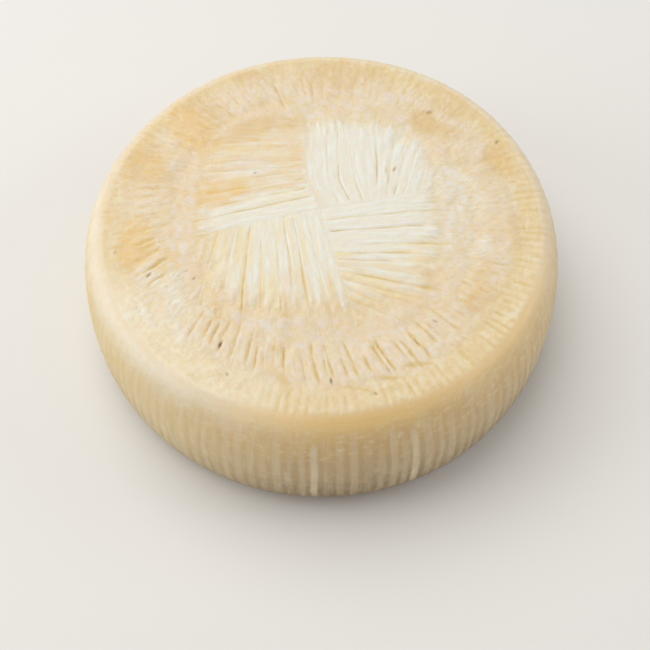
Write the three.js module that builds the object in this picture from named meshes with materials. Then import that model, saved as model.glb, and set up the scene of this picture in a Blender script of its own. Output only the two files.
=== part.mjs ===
// A whole, uncut wheel of semi-aged goat cheese, standing on its base. Its rind carries the marks of its
// mould: four bundles of strands meeting as a pinwheel on each face, a ring of pleats round the pinwheel, a
// row of short bars inside the rim, and upright flutes round the side.
//
// Millimetres, +Z up. The origin is the middle of the wheel's footprint, on the surface it stands on, and
// -Y is the front. Angles run counter-clockwise from +X, seen from above.

import * as THREE from "three";

const { degToRad, lerp, smoothstep } = THREE.MathUtils;
const FULL_TURN = 2 * Math.PI;

// ---------------------------------------------------------------- Driving dimensions

// The body.
const WHEEL_RADIUS = 110;
const WHEEL_HEIGHT = 63;
const WIDEST_LEVEL = 22;
const RIM_INSET = 13.7;
const FOOT_INSET = 8.5;
const SHOULDER_POWER = 2.2;
const CROWN_DROP = 0.6;

// The shallow hollows of the top face: two crossed waves and a slanting one, by wavelength and start.
const TOP_UNEVENNESS = 0.35;
const TOP_UNEVENNESS_LEVEL = 1.5;
const WAVE_ACROSS = { length: 23, start: 0.6 };
const WAVE_BACK = { length: 31, start: -0.4 };
const WAVE_SLANT = { length: 17, height: 0.5 };

// The plan is a circle with these lobes, as shares of its radius.
const PLAN_LOBES = [
  { count: 2, cosine: -0.006, sine: 0.003 },
  { count: 3, cosine: -0.003, sine: 0.001 },
];

// The pinwheel. A bundle's seam is the direction of its first strand. Its other strands turn back clockwise
// by the fan's angle, between two distances across the bundle, and their inner ends butt against the first
// strand of the bundle before it. Each groove between two strands has its distance across the bundle and
// the share of the full depth that it is cut to.
const PINWHEEL_CENTRE = { x: -1.5, y: 5 };
const PINWHEEL_HALF_WIDTH = 54;
const PINWHEEL_SQUARENESS = 3.6;
const STRAND_DEPTH = 1.5;
const SEAM_HALF_WIDTH = 0.5;
const SEAM_CUT = 0.8;
const LAST_EDGE_CUT = 0.3;
const STRAND_END_CUT = 0.6;
const GROOVE_END_SHARE = 0.5;
const INNER_END = 0.12;
const OUTER_END = 0.82;
const BUNDLES = [
  {
    seam: 97,
    fan: { turn: 25, from: 20, to: 40 },
    across: 52,
    grooves: [[8.8, 0.5], [14, 1], [20, 0.8], [26.3, 0.9], [30.5, 1.2], [34, 0.8], [38, 0.8], [45, 0.6]],
  },
  {
    seam: 194.7,
    fan: { turn: 15, from: 10, to: 30 },
    across: 48,
    grooves: [[8, 0.8], [12.5, 0.8], [17.5, 0.7], [21.5, 0.5], [25, 0.6], [28.5, 0.5], [34, 0.35], [40, 0.2]],
  },
  {
    seam: 284.4,
    fan: { turn: 28, from: 0, to: 52 },
    across: 52,
    grooves: [[6.9, 0.9], [12.4, 0.8], [16.5, 0.6], [20.5, 0.7], [26.5, 1], [31.5, 1], [38, 0.5], [46, 0.7]],
  },
  {
    seam: 370.8,
    fan: { turn: 41, from: 18, to: 50 },
    across: 47,
    grooves: [
      [6.9, 0.6], [13, 1], [19.9, 0.9], [24.4, 1], [28, 0.7], [31, 0.6], [34, 0.8], [37.5, 0.5], [42, 0.5],
    ],
  },
];

// The ring of pleats, centred a little behind the middle of the wheel.
const RING_CENTRE = { x: 0, y: 3.5 };
const PLEAT_COUNT = 96;
const PLEAT_COLUMNS = 3;
const PLEAT_DEPTH = 1.6;
const PLEAT_SHALLOWEST = 0.4;
const PLEAT_STRAYING = 0.6;
const PLEAT_SEED = 21;
const PLEAT_INNER_RADIUS = 71;
const PLEAT_OUTER_RADIUS = 86;
const PLEAT_LEAN = 8;
const PLEAT_LEAN_SWING = 8;
const PLEAT_LEAN_TOWARDS = 215;
const PLEAT_DEEPEST_TOWARDS = 250;
const PLEAT_SHALLOW_SIDE = 0.6;
const PLEAT_MARGIN = 2.5;

// The short bars just inside the rim, and the flutes down the side.
const BAR_DEPTH = 0.7;
const BAR_SHALLOWEST = 0.5;
const BAR_SEED = 31;
const BAR_DEEPEST_TOWARDS = 290;
const BAR_SHALLOW_SIDE = 0.3;
const BAR_INNER_RADIUS = 90;
const BAR_OUTER_RADIUS = 95;
const FLUTE_COUNT = 144;
const FLUTE_DEPTH = 0.8;
const FLUTE_SHALLOWEST = 0.4;
const FLUTE_SEED = 41;

// The smooth rings between the marks lie this far under the crests.
const ANNULUS_UNDER = 0.9;
const PLEAT_INNER_UNDER = 0.8;
const PLEAT_OUTER_UNDER = 0.7;
const BAR_INNER_UNDER = 0.4;
const BAR_INNER_SHIFT = 0.2;

// The side's rings, by the turn of its section (90 at the rim, 0 at the widest, -90 at the foot), with the
// share of the flutes' full depth at each.
const SIDE_RINGS = [
  { turn: 80, flute: 0 },
  { turn: 65, flute: 0 },
  { turn: 48, flute: 0.5 },
  { turn: 27, flute: 1 },
  { turn: 0, flute: 1 },
  { turn: -40, flute: 0.8 },
  { turn: -70, flute: 0.2 },
  { turn: -90, flute: 0 },
];

// How finely the surface is divided.
const COLUMNS = PLEAT_COUNT * PLEAT_COLUMNS;
const COLUMNS_PER_FLUTE = COLUMNS / FLUTE_COUNT;
const ANNULUS_COLUMNS = COLUMNS / 2;
const BASE_COLUMNS = COLUMNS / 3;
const ANNULUS_RADIUS = 62;
const BASE_RING_RADIUS = 90;
const FINE_STRANDS = { columns: [0, 0.3, 0.7], rows: [0, 0.05, 0.2, 0.4, 0.6, 0.8, 0.94, 1] };
const PLAIN_STRANDS = { columns: [0, 0.5], rows: [0, 0.12, 0.88, 1] };
const HALVINGS = 24;

// ---------------------------------------------------------------- Small helpers

/** A repeatable uneven value from 0 to 1. */
function uneven(index, seed) {
  const wave = Math.sin(index * 12.9898 + seed * 78.233) * 43758.5453;
  return wave - Math.floor(wave);
}

/** A value that is 1 towards one direction of the plan and lower away from it. */
function towards(angle, direction, lowest) {
  const share = 0.5 + 0.5 * Math.cos(angle - degToRad(direction));
  return lerp(lowest, 1, share);
}

/** The point that lies a distance from the origin in a direction. */
function polar(distance, angle) {
  return { x: distance * Math.cos(angle), y: distance * Math.sin(angle) };
}

/** The surface of the wheel, gathered as shared points and triangles. */
class Skin {
  constructor() {
    this.coordinates = [];
    this.triangles = [];
  }

  /** Adds a point and returns its number. */
  point(x, y, z) {
    this.coordinates.push(x, y, z);
    return this.coordinates.length / 3 - 1;
  }

  /** The direction of a point from a centre, from 0 to a full turn. */
  direction(point, centre) {
    const x = this.coordinates[3 * point] - centre.x;
    const y = this.coordinates[3 * point + 1] - centre.y;
    return (Math.atan2(y, x) + FULL_TURN) % FULL_TURN;
  }

  /** The distance of a point from a centre, in plan. */
  distance(point, centre) {
    const x = this.coordinates[3 * point] - centre.x;
    const y = this.coordinates[3 * point + 1] - centre.y;
    return Math.hypot(x, y);
  }

  /** Closes the gap between two rows of points, stepping along whichever row is behind. */
  zip(first, second) {
    let i = 0;
    let j = 0;
    while (i < first.length - 1 || j < second.length - 1) {
      const nextFirst = i < first.length - 1 ? first[i + 1].measure : Infinity;
      const nextSecond = j < second.length - 1 ? second[j + 1].measure : Infinity;
      if (nextSecond <= nextFirst) {
        this.triangles.push(first[i].point, second[j].point, second[j + 1].point);
        j += 1;
      } else {
        this.triangles.push(first[i].point, second[j].point, first[i + 1].point);
        i += 1;
      }
    }
  }

  /** Closes the gap between two loops that both go round a centre. */
  zipLoops(first, second, centre) {
    this.zip(this.roundFrom(first, centre), this.roundFrom(second, centre));
  }

  /** A loop's points in the order of their direction, ending again at the first. */
  roundFrom(loop, centre) {
    const row = loop.map((point) => ({ point, measure: this.direction(point, centre) }));
    row.sort((a, b) => a.measure - b.measure);
    row.push({ point: row[0].point, measure: row[0].measure + FULL_TURN });
    return row;
  }

  /** Joins two loops of as many points each by a band of quads. */
  band(first, second) {
    for (let i = 0; i < first.length; i += 1) {
      const next = (i + 1) % first.length;
      this.triangles.push(first[i], second[i], second[next]);
      this.triangles.push(first[i], second[next], first[next]);
    }
  }

  /** The finished surface as one indexed geometry, standing on its base over the origin. */
  geometry() {
    const geometry = new THREE.BufferGeometry();
    geometry.setAttribute("position", new THREE.Float32BufferAttribute(this.coordinates, 3));
    geometry.setIndex(this.triangles);
    geometry.computeBoundingBox();
    const centre = geometry.boundingBox.getCenter(new THREE.Vector3());
    geometry.translate(-centre.x, -centre.y, -geometry.boundingBox.min.z);
    geometry.computeVertexNormals();
    return geometry;
  }
}

// ---------------------------------------------------------------- The body's form

/** How much wider or narrower than a circle the plan is in a direction. */
function planScale(angle) {
  return PLAN_LOBES.reduce(
    (scale, { count, cosine, sine }) =>
      scale + cosine * Math.cos(count * angle) + sine * Math.sin(count * angle),
    1,
  );
}

/** The level of the top face: a slight crown with a few shallow hollows. */
function topLevel(x, y) {
  const crown = -CROWN_DROP * (x * x + y * y) / (WHEEL_RADIUS * WHEEL_RADIUS);
  const across = Math.sin(x / WAVE_ACROSS.length + WAVE_ACROSS.start);
  const back = Math.cos(y / WAVE_BACK.length + WAVE_BACK.start);
  const slant = WAVE_SLANT.height * Math.sin((x + y) / WAVE_SLANT.length);
  return WHEEL_HEIGHT + crown + TOP_UNEVENNESS * (across * back + slant - TOP_UNEVENNESS_LEVEL);
}

/** A superellipse quarter: how far out and how far up a point lies, as shares of the quarter's sizes. */
function quarter(turn) {
  const power = 2 / SHOULDER_POWER;
  return { out: Math.cos(turn) ** power, up: Math.abs(Math.sin(turn)) ** power };
}

/** The side's radius and level at a turn of its section. */
function sideAt(turn) {
  const { out, up } = quarter(degToRad(Math.abs(turn)));
  const inset = turn > 0 ? RIM_INSET : FOOT_INSET;
  const rise = turn > 0 ? (WHEEL_HEIGHT - WIDEST_LEVEL) * up : -WIDEST_LEVEL * up;
  return { radius: WHEEL_RADIUS - inset + inset * out, level: WIDEST_LEVEL + rise };
}

// ---------------------------------------------------------------- The pinwheel

/** How far the pinwheel's rounded square reaches from its centre in a direction. */
function pinwheelReach(angle) {
  const sum =
    Math.abs(Math.cos(angle)) ** PINWHEEL_SQUARENESS + Math.abs(Math.sin(angle)) ** PINWHEEL_SQUARENESS;
  return PINWHEEL_HALF_WIDTH / sum ** (1 / PINWHEEL_SQUARENESS);
}

/** How far a strand runs from its inner end before it meets the rounded square. */
function strandLength(start, direction) {
  let inside = 0;
  let outside = 2 * PINWHEEL_HALF_WIDTH;
  for (let step = 0; step < HALVINGS; step += 1) {
    const middle = (inside + outside) / 2;
    const x = start.x + middle * direction.x;
    const y = start.y + middle * direction.y;
    const within = Math.hypot(x, y) < pinwheelReach(Math.atan2(y, x));
    inside = within ? middle : inside;
    outside = within ? outside : middle;
  }
  return inside;
}

/** The columns that a bundle is divided into: distances across it, with a cut at each groove's column. */
function strandColumns({ grooves, across }, shares) {
  const edges = [[0, SEAM_CUT], ...grooves, [across, LAST_EDGE_CUT]];
  const columns = edges.slice(0, -1).flatMap(([from, cut], strand) => {
    const width = edges[strand + 1][0] - from;
    return shares.map((share) => ({ distance: from + share * width, cut: share === 0 ? cut : 0 }));
  });
  return [...columns, { distance: across, cut: LAST_EDGE_CUT }];
}

/** How deep the surface lies under the crests at a column and a share of the strand's length. */
function strandDrop({ cut }, along) {
  const full = smoothstep(along, 0, INNER_END) * (1 - smoothstep(along, OUTER_END, 1));
  const groove = STRAND_DEPTH * cut * lerp(GROOVE_END_SHARE, 1, full);
  const roundedEnd = STRAND_DEPTH * STRAND_END_CUT * (1 - full);
  return Math.max(groove, roundedEnd);
}

/**
 * Lays one face's pinwheel and returns the points of its rim. `place` turns a point of the face's own
 * plan, and its depth under the crests, into a point of the wheel.
 */
function layPinwheel(skin, detail, place) {
  const patches = BUNDLES.map((bundle, index) => {
    const before = BUNDLES[(index + BUNDLES.length - 1) % BUNDLES.length];
    return layBundle(skin, bundle, degToRad(before.seam), detail, place);
  });
  patches.forEach((patch, index) => {
    const next = patches[(index + 1) % patches.length];
    laySeam(skin, patch, next);
  });
  const [a, b, c, d] = patches.map((patch) => patch[0][0]);
  skin.triangles.push(a, b, c, a, c, d);
  return patches.flatMap((patch) => {
    const last = patch.length - 1;
    const side = patch[last].slice(0, -1);
    const ends = patch.map((column) => column.at(-1)).reverse();
    return [...side, ...ends];
  });
}

/** Lays one bundle as a grid of columns, each running out along its strand. */
function layBundle(skin, bundle, baseAngle, detail, place) {
  const base = polar(1, baseAngle);
  const columns = strandColumns(bundle, detail.columns);
  const patch = columns.map((column) => {
    const turned = bundle.fan.turn * smoothstep(column.distance, bundle.fan.from, bundle.fan.to);
    const strand = polar(1, degToRad(bundle.seam - turned));
    const start = {
      x: (column.distance + SEAM_HALF_WIDTH) * base.x + SEAM_HALF_WIDTH * strand.x,
      y: (column.distance + SEAM_HALF_WIDTH) * base.y + SEAM_HALF_WIDTH * strand.y,
    };
    const length = strandLength(start, strand);
    return detail.rows.map((share) => {
      const x = start.x + share * length * strand.x;
      const y = start.y + share * length * strand.y;
      return skin.point(...place(x, y, strandDrop(column, share)));
    });
  });
  for (let i = 0; i < patch.length - 1; i += 1) {
    for (let j = 0; j < detail.rows.length - 1; j += 1) {
      skin.triangles.push(patch[i][j], patch[i + 1][j], patch[i + 1][j + 1]);
      skin.triangles.push(patch[i][j], patch[i + 1][j + 1], patch[i][j + 1]);
    }
  }
  return patch;
}

/** Closes the groove between a bundle's first strand and the inner ends of the next bundle's strands. */
function laySeam(skin, patch, next) {
  const origin = {
    x: skin.coordinates[3 * patch[0][0]],
    y: skin.coordinates[3 * patch[0][0] + 1],
  };
  const measured = (point) => ({ point, measure: skin.distance(point, origin) });
  const ends = next.map((column) => measured(column[0]));
  const side = patch[0].map(measured);
  skin.zip(ends, side);
}

// ---------------------------------------------------------------- The rings and the side

/** How far round from its even place a column of the pleats lies, because their widths are uneven. */
function pleatStray(column) {
  const pleat = Math.floor(column / PLEAT_COLUMNS);
  const share = (column % PLEAT_COLUMNS) / PLEAT_COLUMNS;
  const here = uneven(pleat, PLEAT_SEED);
  const next = uneven((pleat + 1) % PLEAT_COUNT, PLEAT_SEED);
  return (lerp(here, next, share) - 0.5) * PLEAT_STRAYING * (FULL_TURN / PLEAT_COUNT);
}

/** How far round from its even place a point of the pleats lies, because they lean and are uneven. */
function pleatShift(column, angle, radius) {
  const lean = PLEAT_LEAN + PLEAT_LEAN_SWING * Math.cos(angle - degToRad(PLEAT_LEAN_TOWARDS));
  const middle = (PLEAT_INNER_RADIUS + PLEAT_OUTER_RADIUS) / 2;
  return pleatStray(column) + (Math.tan(degToRad(lean)) * (radius - middle)) / middle;
}

/** The depth of a pleat's groove at one column, and nothing on its crest. */
function pleatDrop(column, angle) {
  const pleat = Math.floor(column / PLEAT_COLUMNS);
  const cut = lerp(PLEAT_SHALLOWEST, 1, uneven(pleat, PLEAT_SEED + 1));
  const share = towards(angle, PLEAT_DEEPEST_TOWARDS, PLEAT_SHALLOW_SIDE);
  return column % PLEAT_COLUMNS === 0 ? PLEAT_DEPTH * cut * share : 0;
}

/** The depth between two rim bars at one column. */
function barDrop(column, angle) {
  const bar = Math.floor(column / PLEAT_COLUMNS);
  const cut = lerp(BAR_SHALLOWEST, 1, uneven(bar, BAR_SEED));
  const share = towards(angle, BAR_DEEPEST_TOWARDS, BAR_SHALLOW_SIDE);
  return column % PLEAT_COLUMNS === 0 ? BAR_DEPTH * cut * share : 0;
}

/** One ring of points on the top face. */
function topRing(skin, { radius, columns, shift = 0, lean = false, drop = () => 0, under = 0 }) {
  return Array.from({ length: columns }, (_, column) => {
    const angle = (column / columns) * FULL_TURN;
    const turned = lean ? angle + pleatShift(column, angle, radius) : angle;
    const spread = lerp(planScale(angle), 1, shift);
    const { x, y } = polar(radius * spread, turned);
    const across = x + shift * RING_CENTRE.x;
    const back = y + shift * RING_CENTRE.y;
    return skin.point(across, back, topLevel(across, back) - under - drop(column, angle));
  });
}

/** One ring of points on the side, at a turn of the section. */
function sideRing(skin, { turn, flute }) {
  const { radius, level } = sideAt(turn);
  const settle = smoothstep(level, WIDEST_LEVEL, WHEEL_HEIGHT);
  return Array.from({ length: COLUMNS }, (_, column) => {
    const angle = (column / COLUMNS) * FULL_TURN;
    const number = Math.floor(column / COLUMNS_PER_FLUTE);
    const cut = lerp(FLUTE_SHALLOWEST, 1, uneven(number, FLUTE_SEED));
    const groove = column % COLUMNS_PER_FLUTE === 0 ? FLUTE_DEPTH * cut * flute : 0;
    const { x, y } = polar(radius * planScale(angle) - groove, angle);
    return skin.point(x, y, level + settle * (topLevel(x, y) - WHEEL_HEIGHT));
  });
}

/** One flat ring of points on the surface the wheel stands on. */
function baseRing(skin, radius) {
  return Array.from({ length: BASE_COLUMNS }, (_, column) => {
    const { x, y } = polar(radius, (column / BASE_COLUMNS) * FULL_TURN);
    return skin.point(x, y, 0);
  });
}

// ---------------------------------------------------------------- The wheel

/** The whole wheel as one closed surface, from the middle of the top to the middle of the base. */
function wheelGeometry() {
  const skin = new Skin();
  const middle = { x: 0, y: 0 };

  const onTop = (x, y, drop) => {
    const across = x + PINWHEEL_CENTRE.x;
    const back = y + PINWHEEL_CENTRE.y;
    return [across, back, topLevel(across, back) - drop];
  };
  const pinwheelRim = layPinwheel(skin, FINE_STRANDS, onTop);
  const annulus = topRing(skin, {
    radius: ANNULUS_RADIUS,
    columns: ANNULUS_COLUMNS,
    shift: 1,
    under: ANNULUS_UNDER,
  });
  skin.zipLoops(pinwheelRim, annulus, PINWHEEL_CENTRE);

  const topRings = [
    { radius: PLEAT_INNER_RADIUS, shift: 1, lean: true, under: PLEAT_INNER_UNDER },
    { radius: PLEAT_INNER_RADIUS + PLEAT_MARGIN, shift: 1, lean: true, drop: pleatDrop },
    { radius: PLEAT_OUTER_RADIUS - PLEAT_MARGIN, shift: 1, lean: true, drop: pleatDrop },
    { radius: PLEAT_OUTER_RADIUS, shift: 1, lean: true, under: PLEAT_OUTER_UNDER },
    { radius: BAR_INNER_RADIUS, shift: BAR_INNER_SHIFT, under: BAR_INNER_UNDER },
    { radius: BAR_OUTER_RADIUS, drop: barDrop },
  ].map((ring) => topRing(skin, { columns: COLUMNS, ...ring }));
  skin.zipLoops(annulus, topRings[0], RING_CENTRE);

  const sideRings = SIDE_RINGS.map((ring) => sideRing(skin, ring));
  const rings = [...topRings, ...sideRings];
  rings.slice(1).forEach((ring, index) => skin.band(rings[index], ring));

  const base = baseRing(skin, BASE_RING_RADIUS);
  skin.zipLoops(rings.at(-1), base, middle);
  const baseInner = baseRing(skin, PLEAT_INNER_RADIUS);
  skin.band(base, baseInner);
  const onBase = (x, y, drop) => [x, -y, drop];
  const baseRim = layPinwheel(skin, PLAIN_STRANDS, onBase);
  skin.zipLoops(baseInner, baseRim, middle);
  return skin.geometry();
}

const RIND_COLOUR = 0xe6d3a6;
const rind = new THREE.MeshStandardMaterial({ color: RIND_COLOUR, roughness: 0.5, metalness: 0 });
const wheel = new THREE.Mesh(wheelGeometry(), rind);
wheel.name = "cheese_wheel";

const cheese = new THREE.Group();
cheese.name = "semi_aged_goat_cheese";
cheese.add(wheel);

export default cheese;
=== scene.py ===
"""Looks, light and camera for one whole wheel of semi-aged goat cheese.

The rind is one closed skin of small facets. Its plan, crown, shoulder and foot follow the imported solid. A
Geometry Nodes tree presses the marks of the mould into it, and the finish colours it by those marks.

Sizes are millimetres unless a name says metres. Angles are degrees, counter-clockwise from +X.
"""

from __future__ import annotations

import logging
import math
from dataclasses import dataclass, field
from enum import Enum

import bpy
import numpy as np
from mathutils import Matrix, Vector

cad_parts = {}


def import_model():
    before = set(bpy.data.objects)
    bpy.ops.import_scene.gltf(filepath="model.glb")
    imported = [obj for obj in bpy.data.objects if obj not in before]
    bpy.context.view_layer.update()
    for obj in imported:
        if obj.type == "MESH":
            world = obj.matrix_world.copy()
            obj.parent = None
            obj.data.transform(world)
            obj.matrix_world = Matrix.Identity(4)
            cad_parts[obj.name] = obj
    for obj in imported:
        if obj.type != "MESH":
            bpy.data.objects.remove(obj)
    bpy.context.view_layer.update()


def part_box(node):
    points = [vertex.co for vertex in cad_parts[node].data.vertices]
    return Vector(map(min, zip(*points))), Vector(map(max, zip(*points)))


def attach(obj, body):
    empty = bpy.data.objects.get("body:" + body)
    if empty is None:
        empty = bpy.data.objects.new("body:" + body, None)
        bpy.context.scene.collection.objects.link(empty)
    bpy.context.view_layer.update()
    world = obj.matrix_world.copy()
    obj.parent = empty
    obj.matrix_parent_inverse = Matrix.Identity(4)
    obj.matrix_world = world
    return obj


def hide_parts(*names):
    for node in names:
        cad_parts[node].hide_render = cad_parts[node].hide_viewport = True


log = logging.getLogger("goat_cheese")

Array = np.ndarray
Colour = tuple[float, float, float]
Tone = tuple[float, float, float, float]
Limits = tuple[float, float]
Change = tuple[float, float, float, float]
Shares = tuple[tuple[float, float], ...]
Socket = bpy.types.NodeSocket
Value = Socket | float | tuple[float, ...]

METRES_PER_MM = 0.001
FULL_TURN = 360.0
MEANDER_WAVES = (2, 3, 5, 8, 13)
MEANDER_HEIGHT = 1.6
BEND_SCALE = 0.33
SWELL_SCALE = 0.55
SWELL_SEED = 7.0
HASH_STRIDE = 12.9898
HASH_SHIFT = 78.233
HASH_HEIGHT = 43758.5453
# How the coordinates of the fibres are scaled: twice across the fibres, then along them.
RING_STRETCH = 0.3
FELT_SCALE = (1.0, 1.0, 1.7)
WOVEN_SCALE = (0.24, 0.24, 2.0)
UNMARKED_WIDTH = 5.0
NODE_NAME = "cheese_wheel"


# ---------------------------------------------------------------- Small helpers


def smooth_step(value: Array, start: float, end: float) -> Array:
    """Rises smoothly from 0 at start to 1 at end."""
    share = np.clip((value - start) / (end - start), 0.0, 1.0)
    return share * share * (3.0 - 2.0 * share)


def uneven(index: Array, seed: int) -> Array:
    """Gives each whole number a repeatable uneven value from 0 to 1."""
    wave = np.sin(index * HASH_STRIDE + seed * HASH_SHIFT) * HASH_HEIGHT
    return wave - np.floor(wave)


def meander(angle: Array, seed: int) -> Array:
    """Wanders smoothly round the wheel, from about -1 to 1.

    Args:
        angle: Directions in degrees.
        seed: Which way it wanders.

    Returns:
        One value for each direction.
    """
    total = np.zeros(np.shape(angle))
    for waves in MEANDER_WAVES:
        start = FULL_TURN * uneven(np.array(float(waves)), seed)
        total = total + np.sin(np.radians(waves * angle + start)) / math.sqrt(waves)
    return total / MEANDER_HEIGHT


def unit(angle: Array | float) -> tuple[Array, Array]:
    """Gives the direction of an angle in degrees as x and y."""
    turn = np.radians(angle)
    return np.cos(turn), np.sin(turn)


def direction_of(x: Array, y: Array) -> Array:
    """Gives the direction of points from the origin, in degrees from 0 to 360."""
    return np.degrees(np.arctan2(y, x)) % FULL_TURN


@dataclass(frozen=True)
class Sector:
    """A sector of the plan: its middle direction, its reach to each side, its fade and its strength."""

    centre: float
    half_width: float
    fade: float
    strength: float = 1.0

    def share(self, angle: Array) -> Array:
        """Gives the sector's strength within it, fading to 0 beyond it."""
        apart = np.abs((angle - self.centre + 180.0) % FULL_TURN - 180.0)
        return self.strength * (1.0 - smooth_step(apart, self.half_width, self.half_width + self.fade))


def share_towards(angle: Array, shares: Shares) -> Array:
    """Reads a share that changes round the wheel from a few directions and their shares."""
    directions, values = zip(*shares)
    return np.interp(angle % FULL_TURN, directions, values, period=FULL_TURN)


# ---------------------------------------------------------------- The body


class Region(Enum):
    """The three faces of the wheel."""

    TOP = 0
    SIDE = 1
    BASE = 2


class Trace(str, Enum):
    """The values that each point of the rind carries for the mould marks and the finish."""

    STRAND_PHASE = "strand_phase"
    STRAND_WIDTH = "strand_width"
    STRAND_CUT = "strand_cut"
    PLEAT_PHASE = "pleat_phase"
    PLEAT_WIDTH = "pleat_width"
    PLEAT_CUT = "pleat_cut"
    BAR_PHASE = "bar_phase"
    BAR_WIDTH = "bar_width"
    BAR_CUT = "bar_cut"
    FLUTE_PHASE = "flute_phase"
    FLUTE_WIDTH = "flute_width"
    FLUTE_CUT = "flute_cut"
    SEAM = "seam"
    RIB = "rib"
    UNDER = "under"
    CRINKLE = "crinkle"
    PINWHEEL = "pinwheel"
    IVORY = "ivory"
    TAN = "tan"
    AMBER = "amber"
    BLOOM = "bloom"
    BUTTER = "butter"
    SHOULDER = "shoulder"
    SIDE = "side"
    FOOT = "foot"
    RIM = "rim"
    WEAVE = "weave"
    # Where the front shoulder is golden with a painted warm bounce and painted shade.
    WARM_BOUNCE = "gold"
    LEMON = "lemon"
    STREAK = "streak"
    # Where the flanks are pale: milky rind with painted light from the left and right.
    PALE_AND_LIT_SIDE = "pale_side"
    PIT = "pit"
    STRAND_GRAIN = "strand_grain"
    RING_GRAIN = "ring_grain"
    RING_FLOW = "ring_flow"
    WOVEN_FLOW = "woven_flow"
    HOLLOW = "hollow"
    CREASE = "crease"


Traces = dict[Trace, Array]


@dataclass(frozen=True)
class Wave:
    """One wave of an uneven face: its length, its height as a share, and where it starts."""

    length: float
    height: float
    start: float


@dataclass(frozen=True)
class WheelBody:
    """The plain form of the wheel, before the mould marks."""

    radius: float = 110.0
    height: float = 63.0
    widest_level: float = 22.0
    rim_inset: float = 13.7
    foot_inset: float = 8.5
    shoulder_power: float = 2.2
    crown_drop: float = 0.6
    unevenness: float = 0.35
    unevenness_level: float = 1.5
    across: Wave = Wave(23.0, 1.0, 0.6)
    back: Wave = Wave(31.0, 1.0, -0.4)
    slant: Wave = Wave(17.0, 0.5, 0.0)
    oval: tuple[float, float] = (-0.006, 0.003)
    trefoil: tuple[float, float] = (-0.003, 0.001)
    section_samples: int = 4001

    def plan_scale(self, angle: Array) -> Array:
        """Says how much wider or narrower than a circle the plan is.

        Args:
            angle: Directions in degrees.

        Returns:
            The share of the radius at each direction.
        """
        turn = np.radians(angle)
        oval = self.oval[0] * np.cos(2 * turn) + self.oval[1] * np.sin(2 * turn)
        trefoil = self.trefoil[0] * np.cos(3 * turn) + self.trefoil[1] * np.sin(3 * turn)
        return 1.0 + oval + trefoil

    def top_level(self, x: Array, y: Array) -> Array:
        """Gives the level of the top face: a slight crown with shallow hollows.

        Args:
            x: Places across.
            y: Places towards the back.

        Returns:
            The level at each place.
        """
        crown = -self.crown_drop * (x * x + y * y) / self.radius**2
        across = np.sin(x / self.across.length + self.across.start)
        back = np.cos(y / self.back.length + self.back.start)
        slant = self.slant.height * np.sin((x + y) / self.slant.length)
        return self.height + crown + self.unevenness * (across * back + slant - self.unevenness_level)

    def section(self, turn: Array) -> tuple[Array, Array]:
        """Follows the side's section: 90 at the rim, 0 at the widest level, -90 at the foot.

        Args:
            turn: Turns of the section in degrees.

        Returns:
            The radius and the level at each turn.
        """
        power = 2.0 / self.shoulder_power
        steep = np.radians(np.abs(turn))
        out = np.clip(np.cos(steep), 0.0, 1.0) ** power
        up = np.sin(steep) ** power
        inset = np.where(turn > 0, self.rim_inset, self.foot_inset)
        rise = np.where(turn > 0, (self.height - self.widest_level) * up, -self.widest_level * up)
        return self.radius - inset + inset * out, self.widest_level + rise

    def side_rows(self, count: int, rim_density: float) -> tuple[Array, Array, Array]:
        """Divides the side's section into rows, set closer near the rim.

        Args:
            count: How many rows there are below the rim.
            rim_density: The first gap as a share of the mean gap.

        Returns:
            The radius, the level and the path from the rim of each row.
        """
        turn = np.linspace(90.0, -90.0, self.section_samples)
        radius, level = self.section(turn)
        step = np.hypot(np.diff(radius), np.diff(level))
        path = np.concatenate([[0.0], np.cumsum(step)])
        share = np.arange(1, count + 1) / count
        wanted = path[-1] * (rim_density * share + (1.0 - rim_density) * share * share)
        return np.interp(wanted, path, radius), np.interp(wanted, path, level), wanted


# ---------------------------------------------------------------- The plain skin


@dataclass
class Skin:
    """The points and faces of the rind, gathered as the wheel is laid out."""

    x: list[Array] = field(default_factory=list)
    y: list[Array] = field(default_factory=list)
    z: list[Array] = field(default_factory=list)
    region: list[Array] = field(default_factory=list)
    path: list[Array] = field(default_factory=list)
    faces: list[Array] = field(default_factory=list)
    count: int = 0

    def add(self, x: Array, y: Array, z: Array, region: Region, path: Array) -> Array:
        """Adds points.

        Args:
            x: Places across.
            y: Places towards the back.
            z: Levels.
            region: The face that they lie on.
            path: How far each lies from the middle of the top, along the skin.

        Returns:
            The numbers of the new points, in the shape of x.
        """
        numbers = self.count + np.arange(x.size).reshape(x.shape)
        for values, store in ((x, self.x), (y, self.y), (z, self.z), (path, self.path)):
            store.append(np.broadcast_to(values, x.shape).ravel())
        self.region.append(np.full(x.size, region.value))
        self.count += x.size
        return numbers

    def quads(self, first: Array, second: Array, third: Array, fourth: Array) -> None:
        """Adds one four-sided face for each place in the four arrays of point numbers."""
        self.faces.append(np.stack([first, second, third, fourth], axis=-1).reshape(-1, 4))

    def triangles(self, first: Array, second: Array, third: Array) -> None:
        """Adds one triangle for each place in the three arrays of point numbers."""
        self.faces.append(np.stack([first, second, third], axis=-1).reshape(-1, 3))

    def band(self, inner: Array, outer: Array) -> None:
        """Joins two rings of as many points each, the first lying above or within the second."""
        self.quads(inner, outer, np.roll(outer, -1), np.roll(inner, -1))

    def halving_band(self, outer: Array, inner: Array) -> None:
        """Joins a ring to one of half as many points."""
        even = outer[0::2]
        odd = outer[1::2]
        following = np.roll(even, -1)
        inner_following = np.roll(inner, -1)
        self.triangles(even, inner, odd)
        self.triangles(odd, inner, inner_following)
        self.triangles(odd, inner_following, following)

    @staticmethod
    def joined(parts: list[Array]) -> Array:
        """Joins the parts of one list of values."""
        return np.concatenate(parts)

    def face_lists(self) -> list[list[int]]:
        """Gives every face as a plain list of point numbers."""
        return [face for block in self.faces for face in block.tolist()]


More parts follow.
